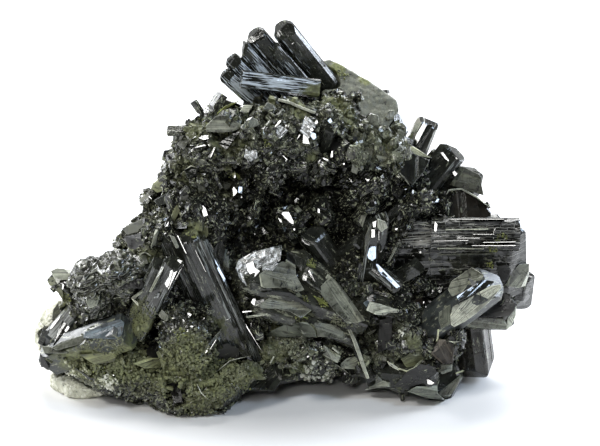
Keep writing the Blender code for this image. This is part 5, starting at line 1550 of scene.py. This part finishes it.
smallPatches = [
    # crown, middle: dense glints
    patch(2.4, 34.6, 4.4, 420, (0.3, 0.62), wobble=0.7, stand=(0.1, 0.6), tone=(0.2, 1.3)),
    patch(-1, 30.5, 4, 240, (0.3, 0.7), wobble=0.7, stand=(0.1, 0.6), tone=(0, 1.1)),
    patch(5, 29.4, 3.6, 220, (0.3, 0.7), wobble=0.7, stand=(0.1, 0.6)),
    # crown, left: few, small
    patch(-8, 32.6, 4.6, 150, (0.3, 0.7), wobble=0.5, stand=(0.05, 0.3), tone=(0.3, 0.9)),
    # crown, right: parallel laths
    patch(12, 31.5, 3.8, 240, (0.35, 0.8), lean=(-0.25, -0.5, 1), wobble=0.22, stand=(0.3, 1.4),
          tone=(0.5, 1.3)),
    patch(5, 35.8, 2, 130, (0.3, 0.55), wobble=0.7, stand=(0.1, 0.6), tone=(0.1, 1.2)),
    # left slope
    patch(-13, 28, 4.4, 200, (0.35, 0.8), wobble=0.6, stand=(0.1, 0.5), tone=(0.1, 0.7)),
    patch(-11, 22, 4, 200, (0.3, 0.8), wobble=0.6, stand=(0.1, 0.6), tone=(0, 0.5)),
    patch(-17.5, 20, 4, 160, (0.4, 0.9), wobble=0.5, stand=(0.1, 0.5), tone=(0.2, 0.8)),
    # the cavity and under it
    patch(0.5, 24.5, 5.4, 220, (0.35, 0.9), lean=(0.1, -0.8, 0.6), wobble=0.5, stand=(0.2, 0.9), tone=(0, 1)),
    patch(-4.5, 20, 3.6, 120, (0.3, 0.8), lean=(0.3, -0.8, 0.5), wobble=0.45),
    patch(2, 19, 3, 90, (0.3, 0.8), lean=(-0.3, -0.8, 0.5), wobble=0.45),
    # right half
    patch(12, 24.5, 4.6, 220, (0.35, 1), lean=(0.3, -0.7, 0.7), wobble=0.45),
    patch(9, 18, 3.6, 120, (0.3, 0.9), lean=(0.3, -0.8, 0.5), wobble=0.45),
    patch(16.5, 16, 3.6, 180, (0.3, 0.8), lean=(0.7, -0.7, 0.2)),
    patch(19.5, 8.6, 3.8, 200, (0.3, 0.7), wobble=0.7, stand=(0.1, 0.6), tone=(0, 0.6)),
    patch(15.6, 5.2, 3.6, 180, (0.3, 0.7), wobble=0.7, stand=(0.05, 0.5), tone=(0.5, 1.5)),
    patch(18.6, 26, 2.8, 90, (0.4, 0.9), lean=(0.4, -0.6, 0.7)),
    # low in the middle
    patch(3, 3.4, 4.4, 190, (0.3, 0.7), wobble=0.5, stand=(0.05, 0.4), tone=(0.5, 1.6)),
    patch(-2.4, 4, 3.4, 160, (0.3, 0.7), wobble=0.5, stand=(0.05, 0.4), tone=(0.5, 1.5)),
    patch(-14.5, 14.5, 3, 110, (0.3, 0.8), lean=(-0.3, -0.8, 0.4), wobble=0.5),
]


def glint(x, z, radius, count, face=keyFace, on="crystal_mass"):
    # tiny faces turned to a lamp
    return patch(x, z, radius, count, (0.22, 0.55), lean=(0, -0.2, 1), face=face, wobble=0.3,
                 stand=(0, 0.6), on=on)


glintPatches = [glint(*row) for row in (
    (2.4, 34.4, 3.6, 110), (3, 34, 2.6, 90, coolFace), (-1.5, 32.5, 3, 60), (6.6, 35.4, 2, 40),
    (-3, 28.5, 4, 26, coolFace), (-2, 24, 4.5, 50), (5, 27, 4, 60), (11, 24, 4.5, 60),
    (12, 30, 3.6, 50, coolFace), (11, 32.4, 2.6, 30), (17, 23, 3.6, 22), (-10, 30.5, 4, 26),
    (-13.5, 24, 4, 26), (-17.5, 21.5, 3, 14), (-9.5, 20.5, 3, 18, coolFace), (3, 21.5, 4, 22),
    (8, 16.5, 3.5, 20), (16, 9, 4, 40), (13, 3, 4, 44), (20, 5, 3, 16, coolFace), (2, 4, 4.5, 20),
    (-7, 5.5, 3.5, 30), (-12, 2, 5, 60), (-20, 4, 4, 16), (-15, 11, 3, 14), (-4.5, 30.5, 1.6, 16),
    (-4.6, 28.8, 1, 10), (0.2, 33.8, 1.8, 40), (-11.8, 23.3, 1.5, 14),
    (-2.2, 17, 1.8, 26, coolFace, "centre_prism"), (-4.8, 13.8, 1, 12, keyFace, "centre_prism"),
    (-12, 8.6, 1.2, 10), (-24, 8.6, 2, 12, coolFace))]

mediumPatches = [
    patch(-1.5, 27, 5, 34, (0.9, 1.7), lean=(0, -0.8, 0.5), stand=(0.2, 1.2)),
    patch(5, 25, 4.4, 30, (0.9, 1.6), lean=(0.2, -0.8, 0.5), stand=(0.2, 1.2)),
    patch(11, 24, 5, 44, (0.9, 1.7), lean=(0.4, -0.6, 0.6), wobble=0.3, stand=(0.3, 1.4)),
    patch(17, 22, 4, 26, (0.8, 1.5), lean=(0.5, -0.6, 0.5), wobble=0.35, stand=(0.2, 1.2)),
    patch(12, 32, 3.8, 30, (0.8, 1.5), lean=(-0.25, -0.5, 1), wobble=0.2, stand=(0.4, 1.8), tone=(0.5, 1.2)),
    patch(-12.5, 22.5, 4.5, 30, (0.9, 1.7), lean=(-0.4, -0.6, 0.7), stand=(0.1, 0.9)),
    patch(-15.5, 27.5, 3.5, 20, (0.9, 1.6), lean=(-0.5, -0.5, 0.7), stand=(0, 0.6)),
    patch(7, 17, 3.6, 24, (0.9, 1.7), lean=(0.3, -0.8, 0.3), stand=(0.2, 1)),
    patch(16.5, 12.5, 3.6, 26, (0.8, 1.4), lean=(0.5, -0.8, -0.1), stand=(0.1, 0.8)),
    patch(19.5, 6, 3.8, 30, (0.8, 1.5), lean=(0.3, -0.8, 0.3), wobble=0.5, stand=(0.1, 0.7)),
    patch(14, 3.5, 4, 26, (0.8, 1.5), lean=(0, -0.8, 0.4), wobble=0.5, stand=(0.1, 0.6), tone=(0.6, 1.4)),
    patch(6.5, 3.5, 3.6, 20, (0.8, 1.5), lean=(0.2, -0.8, 0.4), stand=(0.1, 0.7)),
    patch(-10.5, 13, 3.4, 18, (0.8, 1.4), lean=(0, -0.8, 0.5), stand=(0.1, 0.7)),
]


def oliveGrain(x, z, radius, count, size, tone, stand, on="crystal_mass"):
    return patch(x, z, radius, count, size, tone=tone, stand=(0, stand), on=on)


grainPatches = [oliveGrain(*row) for row in (
    (-25.5, 2.6, 4.4, 300, (0.14, 0.42), (0, 1.6), 0.3), (-19, 2.4, 4.4, 400, (0.14, 0.42), (0, 1.6), 0.3),
    (-12, -0.4, 4.8, 460, (0.14, 0.44), (0, 1.5), 0.35),
    (-12.2, 4.4, 3.2, 300, (0.14, 0.42), (0, 1.5), 0.35),
    (-24, 5, 3, 160, (0.14, 0.36), (0.2, 1.2), 0.25, "left_slab_crystals"),
    (-6.5, 0.8, 3.4, 240, (0.14, 0.34), (0.2, 0.9), 0.3),
    (-18.4, 9.6, 1.6, 90, (0.14, 0.3), (0.3, 1), 0.3, "leaning_prism"),
    (-19, 22, 4, 160, (0.14, 0.34), (0.2, 1), 0.25), (-14.6, 31, 3.6, 160, (0.14, 0.34), (0.2, 1), 0.25),
    (-8, 35, 2.6, 100, (0.14, 0.3), (0.2, 1), 0.25),
    (6, 36.6, 2.2, 160, (0.14, 0.34), (0.4, 1), 0.25, "olive_slab_crystal"),
    (1, 0.8, 4.6, 220, (0.14, 0.34), (0.2, 0.8), 0.25), (-5.4, 2.6, 3, 260, (0.16, 0.36), (0.3, 1.2), 0.3),
    (-0.6, 5, 2.6, 160, (0.16, 0.36), (0.3, 1.2), 0.3),
    (2.6, 6.6, 1.6, 90, (0.14, 0.3), (0.3, 1.2), 0.25, "under_centre_prism"),
    (7.4, 8.4, 1.6, 60, (0.14, 0.3), (0.3, 1.2), 0.25, "centre_prism"))]


def paleGrain(x, z, radius, count, on="crystal_mass"):
    return patch(x, z, radius, count, (0.2, 0.55), stand=(-0.1, 0.3), tone=(0, 1), on=on)


palePatches = [paleGrain(*row) for row in (
    (-31.6, 9.2, 1.8, 120, "pale_matrix"), (-32, 6, 1.6, 60, "pale_matrix"), (-31.4, 8.6, 1.4, 26),
    (-28.4, 0.4, 3, 150, "pale_matrix"), (-29.4, 1.4, 1.6, 40), (-27, 0.7, 1.6, 50),
    (-31.9, 3, 1, 16), (-23.4, -0.9, 1.8, 60), (14.8, 6.6, 0.8, 16), (15.2, 5, 0.8, 16),
    (4.2, 1, 2.2, 110), (-32.4, 7.4, 1.2, 40, "pale_matrix"))]


def mossSpeck(x, z, radius, count, on="crystal_mass"):
    # yellow-green and moss-like
    return patch(x, z, radius, count, (0.12, 0.28), stand=(0, 0.25), tone=(0, 1), on=on)


mossPatches = [mossSpeck(*row) for row in (
    (-11.8, 20.6, 1, 60, "long_front_prism"), (3.3, 21.4, 0.5, 16), (15.4, 25.8, 0.6, 20),
    (26.7, 18.4, 0.7, 26, "right_prism_bundle"), (26.4, 16, 0.5, 16, "right_prism_bundle"),
    (2.2, 8.8, 1, 36, "under_centre_prism"), (2, 9.6, 1, 30, "centre_prism"),
    (-19.4, 9.2, 0.8, 30, "leaning_prism"), (-13.4, 6.6, 1, 40), (-7, 28.2, 0.6, 16),
    (6.2, 36.2, 1.3, 70, "olive_slab_crystal"), (-10.4, 34.2, 1, 30), (-28.6, 11.4, 0.9, 26),
    (-24, 2.4, 1.6, 40), (-9.4, 2.6, 1.4, 50), (-6, -1, 1.6, 50),
    (7.4, 41, 0.8, 30, "olive_slab_crystal"), (16, 5.6, 0.9, 26), (3, 30.4, 0.6, 16),
    (14.4, 30.8, 0.5, 14), (-2.5, 31.7, 0.8, 24), (3.4, 16.2, 0.7, 24, "centre_prism"),
    (5, 11, 0.7, 24, "centre_prism"), (2.6, 11.5, 0.5, 16, "centre_prism"),
    (4.4, 10.2, 0.6, 20, "under_centre_prism"), (27.7, 19.6, 0.7, 20, "right_prism_bundle"),
    (-15, 33, 1.2, 40), (-13, 5, 1.6, 70), (22.9, 2.2, 0.9, 30))]

# etched end of the centre prism: a mottled crust of tiny faces turned to the key lamp
crustPatches = [
    patch(-3.4, 16.2, 1.5, 130, (0.2, 0.5), lean=(-0.8, -0.4, 0.4), face=keyFace, wobble=0.16,
          stand=(0, 0.12), thick=(0.5, 0.9), on="centre_prism"),
    patch(-1.4, 17.2, 1, 50, (0.2, 0.45), lean=(-0.8, -0.4, 0.4), face=keyFace, wobble=0.18,
          stand=(0, 0.12), thick=(0.5, 0.9), on="centre_prism"),
    patch(-5, 14.6, 1, 40, (0.2, 0.4), stand=(0, 0.15), on="centre_prism"),
]

allOver = patch(0, 0, 0, 420, (0.6, 1.3), wobble=0.6, stand=(-0.6, 0.0), tone=(0.0, 0.6))
allOverSmall = patch(0, 0, 0, 1800, (0.3, 0.7), wobble=0.6, stand=(-0.1, 0.4), tone=(0.0, 0.6))

shapeStriae = {
    "small": dict(calmStriae, width=(1.2, 1.6), step=0.0, tilt=0.0, chamfer=0.05, chips=0, run=(9, 10)),
    "medium": dict(calmStriae, width=(0.3, 0.7), step=0.04, tilt=0.015, chamfer=0.06, chips=1, run=(9, 10)),
}


def makeShapes(rng, kind, choices, length, keep=1.0):
    # keep: the share of its triangles that each shape keeps
    shapes = []
    for habit, end in choices:
        spec = crystal((0, 0, 0), (0, -length, 0), 1.0, 1.0, 0, habit, end)
        prism = striatedPrism(rng, spec, shapeStriae[kind], False)
        if keep < 1:
            fewer = prism.modifiers.new("fewer", "DECIMATE")
            fewer.ratio = keep
            select(prism)
            bpy.ops.object.modifier_apply(modifier="fewer")
        shapes.append(takeShape(prism))
    return shapes


def makeGrains(rng):
    # broken grains: small balls of flat faces, cut by a few planes
    shapes = []
    for _ in range(6):
        bpy.ops.mesh.primitive_ico_sphere_add(subdivisions=1, radius=0.6)
        grain = bpy.context.object
        cuts = [support(grain, stray(rng, 1.0).normalized(), rng.uniform(0.08, 0.3)) for _ in range(4)]
        setMode("EDIT")
        cutAway(cuts)
        setMode("OBJECT")
        grain.data.uv_layers.remove(grain.data.uv_layers[0])
        unwrap(grain, Vector((0, 0, -1)), Vector((0, 0, 1)), Vector((1, 0, 0)), Vector((0, 1, 0)))
        shapes.append(takeShape(grain))
    return shapes


def makeDruse(rng, bodyMesh):
    plain = (("four", "ridge"), ("four", "slant"), ("six", "ridge"), ("four", "chisel"), ("six", "slant"),
             ("four", "broken"), ("lath", "ridge"))
    striated = (("six", "roof"), ("six", "chisel"), ("eight", "roof"), ("lath", "slant"), ("six", "blunt"),
                ("lath", "roof"), ("six", "broken"), ("eight", "chisel"))
    small = makeShapes(rng, "small", plain, 1.6, 0.42)
    medium = makeShapes(rng, "medium", striated, 2.4)
    grains = makeGrains(rng)
    glints = makeShapes(rng, "small", plain, 0.9)
    druse = [
        ("glints", glints, frontCrystals(rng, glintPatches, len(glints)), mirrorGlass),
        ("smallDruse", small, frontCrystals(rng, smallPatches, len(small))
         + bodyCrystals(rng, bodyMesh, allOverSmall, len(small)), druseGlass),
        ("mediumDruse", medium, frontCrystals(rng, mediumPatches, len(medium))
         + bodyCrystals(rng, bodyMesh, allOver, len(medium)), druseGlass),
        ("oliveGrains", grains, frontCrystals(rng, grainPatches, len(grains)), grainGlass),
        ("mossSpecks", grains, frontCrystals(rng, mossPatches, len(grains)), mossGlass),
        ("paleGrains", grains, frontCrystals(rng, palePatches, len(grains)), paleGlass),
        ("etchedCrust", small, frontCrystals(rng, crustPatches, len(small)), glass),
    ]
    for name, shapes, copies, look in druse:
        piece = joinCopies(name, shapes, copies)
        settle(piece, crystalSkin(name, look))
        print(name, "has", len(copies), "crystals and", len(piece.data.polygons), "faces")


# The mass and the host rock

massForm = {
    "name": "crystalMassBody", "node": "crystal_mass", "skin": "massRock", "voxel": 0.27, "shrink": 0.3,
    # title, kind, size and strength of each relief, and the region that it works on
    "relief": (("facets", "VORONOI", 1.6, -0.6, "rough"), ("lumps", "CLOUDS", 2.6, 0.6, "rough"),
               ("chips", "VORONOI", 0.5, -0.22, "rough"), ("slabs", "VORONOI", 3.2, -1.6, "crown")),
    "keep": 0.35,
    "swollen": ((-25.0, 14.6, 2.2, 1.5), (-21.8, 15.6, 2.2, 1.8), (-20.2, 16.0, 1.6, 1.2)),
    "calm": ((-24.8, 14.0, 3.2, 1), (-21.2, 15.2, 2.8, 1), (-24, 9.6, 1.8, 0.8), (-12.6, 7.4, 2.2, 0.6)),
    "crown": ((-8, 33, 4.5, 1), (-13, 29, 4.5, 1), (-17, 24, 4, 1), (-21, 19, 3, 1), (-3, 35, 3, 0.7)),
    "ridges": {"centre": (-19.5, 8.0, -3.0), "spacing": 0.75, "height": 0.6,
               "spots": ((-24.4, 13.0, 3.4, 1), (-21.2, 14.6, 3.0, 1), (-26.5, 12.8, 2.4, 1))},
}

paleForm = {
    "name": "paleHostRock", "node": "pale_matrix", "skin": "paleRock", "voxel": 0.4, "shrink": 0.1,
    "relief": (("lumps", "CLOUDS", 1.6, 0.6, "rough"), ("grit", "CLOUDS", 0.4, 0.5, "rough")),
    "keep": 0.8,
}

slabForm = {
    "name": "oliveSlab", "node": "olive_slab_crystal", "skin": "slabRock", "voxel": 0.2, "shrink": 0.05,
    "relief": (("swells", "CLOUDS", 3.0, 0.3, "rough"), ("chips", "VORONOI", 0.9, -0.12, "rough")),
    "keep": 0.3,
}


def weights(co, spots):
    # how far each point belongs to a region, from spots in x, z, radius, amount
    amount = np.zeros(len(co))
    for x, z, radius, strength in spots:
        near = np.linalg.norm(co - np.array(meets(Vector((x, 0, z)))[0]), axis=1) / radius
        amount = np.maximum(amount, strength * np.clip(1.5 - near, 0, 1))
    return amount


def addRidges(mesh, ridges):
    # stepped ridges in arcs round a centre, as of stacked curved plates
    co = coordinates(mesh)
    normals = np.empty(len(co) * 3)
    mesh.vertices.foreach_get("normal", normals)
    away = np.linalg.norm(co - np.array(seen(ridges["centre"])), axis=1)
    wander = np.sin(co[:, 0] * 1.7 + co[:, 2] * 2.3) * 0.25 + np.sin(co[:, 1] * 3.1 + co[:, 0]) * 0.15
    height = (away / ridges["spacing"] + wander) % 1.0 * ridges["height"] * weights(co, ridges["spots"])
    mesh.vertices.foreach_set("co", (co + normals.reshape(-1, 3) * height[:, None]).ravel())


def roughCopy(form):
    # the CAD solid's form with a rough broken skin
    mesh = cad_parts[form["node"]].data.copy()
    piece = bpy.data.objects.new(form["name"], mesh)
    bpy.context.scene.collection.objects.link(piece)
    mesh.transform(toReading)
    select(piece)
    setMode("EDIT")
    bpy.ops.mesh.remove_doubles(threshold=0.001)
    setMode("OBJECT")
    remesh = piece.modifiers.new("remesh", "REMESH")
    remesh.mode = "VOXEL"
    remesh.voxel_size = form["voxel"]
    bpy.ops.object.modifier_apply(modifier="remesh")
    co = coordinates(piece.data)
    regions = {"crown": weights(co, form.get("crown", ())), "rough": 1 - weights(co, form.get("calm", ()))}
    for region, amount in regions.items():
        group = piece.vertex_groups.new(name=region)
        level = np.round(amount * 10).astype(int)
        for step in range(1, 11):
            group.add(np.nonzero(level == step)[0].tolist(), step / 10, "REPLACE")
    normals = np.empty(len(co) * 3)
    piece.data.vertices.foreach_get("normal", normals)
    swollen = co + normals.reshape(-1, 3) * weights(co, form.get("swollen", ()))[:, None]
    piece.data.vertices.foreach_set("co", swollen.ravel())
    for title, kind, size, strength, region in form["relief"]:
        texture = bpy.data.textures.new(form["name"] + title, kind)
        texture.noise_scale = size
        if kind == "VORONOI":
            texture.distance_metric = "MANHATTAN"
        relief = piece.modifiers.new(title, "DISPLACE")
        relief.texture = texture
        relief.strength = strength
        relief.mid_level = 0.5 + form["shrink"] / strength / len(form["relief"])
        relief.vertex_group = region
        bpy.ops.object.modifier_apply(modifier=title)
    if "ridges" in form:
        addRidges(piece.data, form["ridges"])
    fewer = piece.modifiers.new("fewer", "DECIMATE")
    fewer.ratio = form["keep"]
    bpy.ops.object.modifier_apply(modifier="fewer")
    co = coordinates(piece.data)
    co[:, 2] = np.maximum(co[:, 2], floorGap)
    piece.data.vertices.foreach_set("co", co.ravel())
    setPoints(piece.data, "calm", weights(co, form.get("calm", ())))
    return piece


# Stage, lights and camera

stage = {
    "size": 4.0, "rough": 0.8, "pale": (0.86, 0.86, 0.86),
    # toward the viewer, out of the picture, the floor is dark, for the shiny faces to mirror
    "dark": (0.2, 0.2, 0.2), "darkTo": -70.0, "paleFrom": -28.0,
}
room = {"colour": (0.97, 0.985, 1.0, 1), "before": 0.05, "behind": 0.6, "from": -0.25, "to": 0.35}


def makeStage():
    bpy.ops.mesh.primitive_plane_add(size=stage["size"], location=(0, 0, 0))
    floor = bpy.context.object
    floor.name = "floor"
    skin, tree, surface, inMm = newSkin("paleFloor", 1.4)
    depth = addNode(tree, "SeparateXYZ", {0: inMm}).outputs["Y"]
    far = ramp(tree, depth, 0, 1, stage["darkTo"], stage["paleFrom"])
    tree.links.new(blendColour(tree, far, stage["dark"], stage["pale"]), surface.inputs["Base Color"])
    surface.inputs["Roughness"].default_value = stage["rough"]
    floor.data.materials.append(skin)


def makeLights():
    for name, (way, size, radiance, colour) in lamps.items():
        bpy.ops.object.light_add(type="AREA", location=Vector(way).normalized() * lampReach)
        lamp = bpy.context.object
        lamp.name = name
        lamp.data.shape = "SQUARE"
        lamp.data.size = size
        lamp.data.energy = radiance * math.pi * size * size
        lamp.data.color = colour
        lamp.rotation_euler = (-Vector(way)).to_track_quat("-Z", "Y").to_euler()
    world = bpy.data.worlds.new("room")
    bpy.context.scene.world = world
    world.use_nodes = True
    tree = world.node_tree
    parts = addNode(tree, "SeparateXYZ", {0: addNode(tree, "TexCoord").outputs["Generated"]})
    strength = ramp(tree, parts.outputs["Y"], room["before"], room["behind"], room["from"], room["to"])
    glow = addNode(tree, "Background", {"Color": room["colour"], "Strength": strength})
    tree.links.new(glow.outputs[0], tree.nodes["World Output"].inputs["Surface"])


def makeCamera():
    bpy.ops.object.camera_add(location=toPart @ eye)
    camera = bpy.context.object
    camera.name = "photoCamera"
    camera.data.lens = 100
    camera.data.sensor_width = 36
    camera.data.clip_start = 0.01
    camera.rotation_euler = (lookAt - eye).to_track_quat("-Z", "Y").to_euler()
    bpy.context.scene.camera = camera
    bpy.context.scene.view_settings.view_transform = "Standard"


def makeRock(form, look, dust=0.0, shape=None):
    # a rough copy of a CAD solid, or the one given, takes its place
    piece = shape or roughCopy(form)
    print(form["name"], "has", len(piece.data.polygons), "faces")
    settle(piece, rockSkin(form["skin"], look), [form["node"]], dust)


rng = random.Random(17)
makeStage()
makeLights()
makeCamera()
print("stage ready")
makeLargePrisms(rng)
makeIngrown(rng)
makePlates(rng)
body = roughCopy(massForm)
makeDruse(rng, body.data)
ringCentre = toPart @ seen(massForm["ridges"]["centre"]) * 1000
makeRock(massForm, dict(massRock, rings=ringCentre), 0.25, body)
makeRock(paleForm, paleRock)
makeRock(slabForm, slabRock)
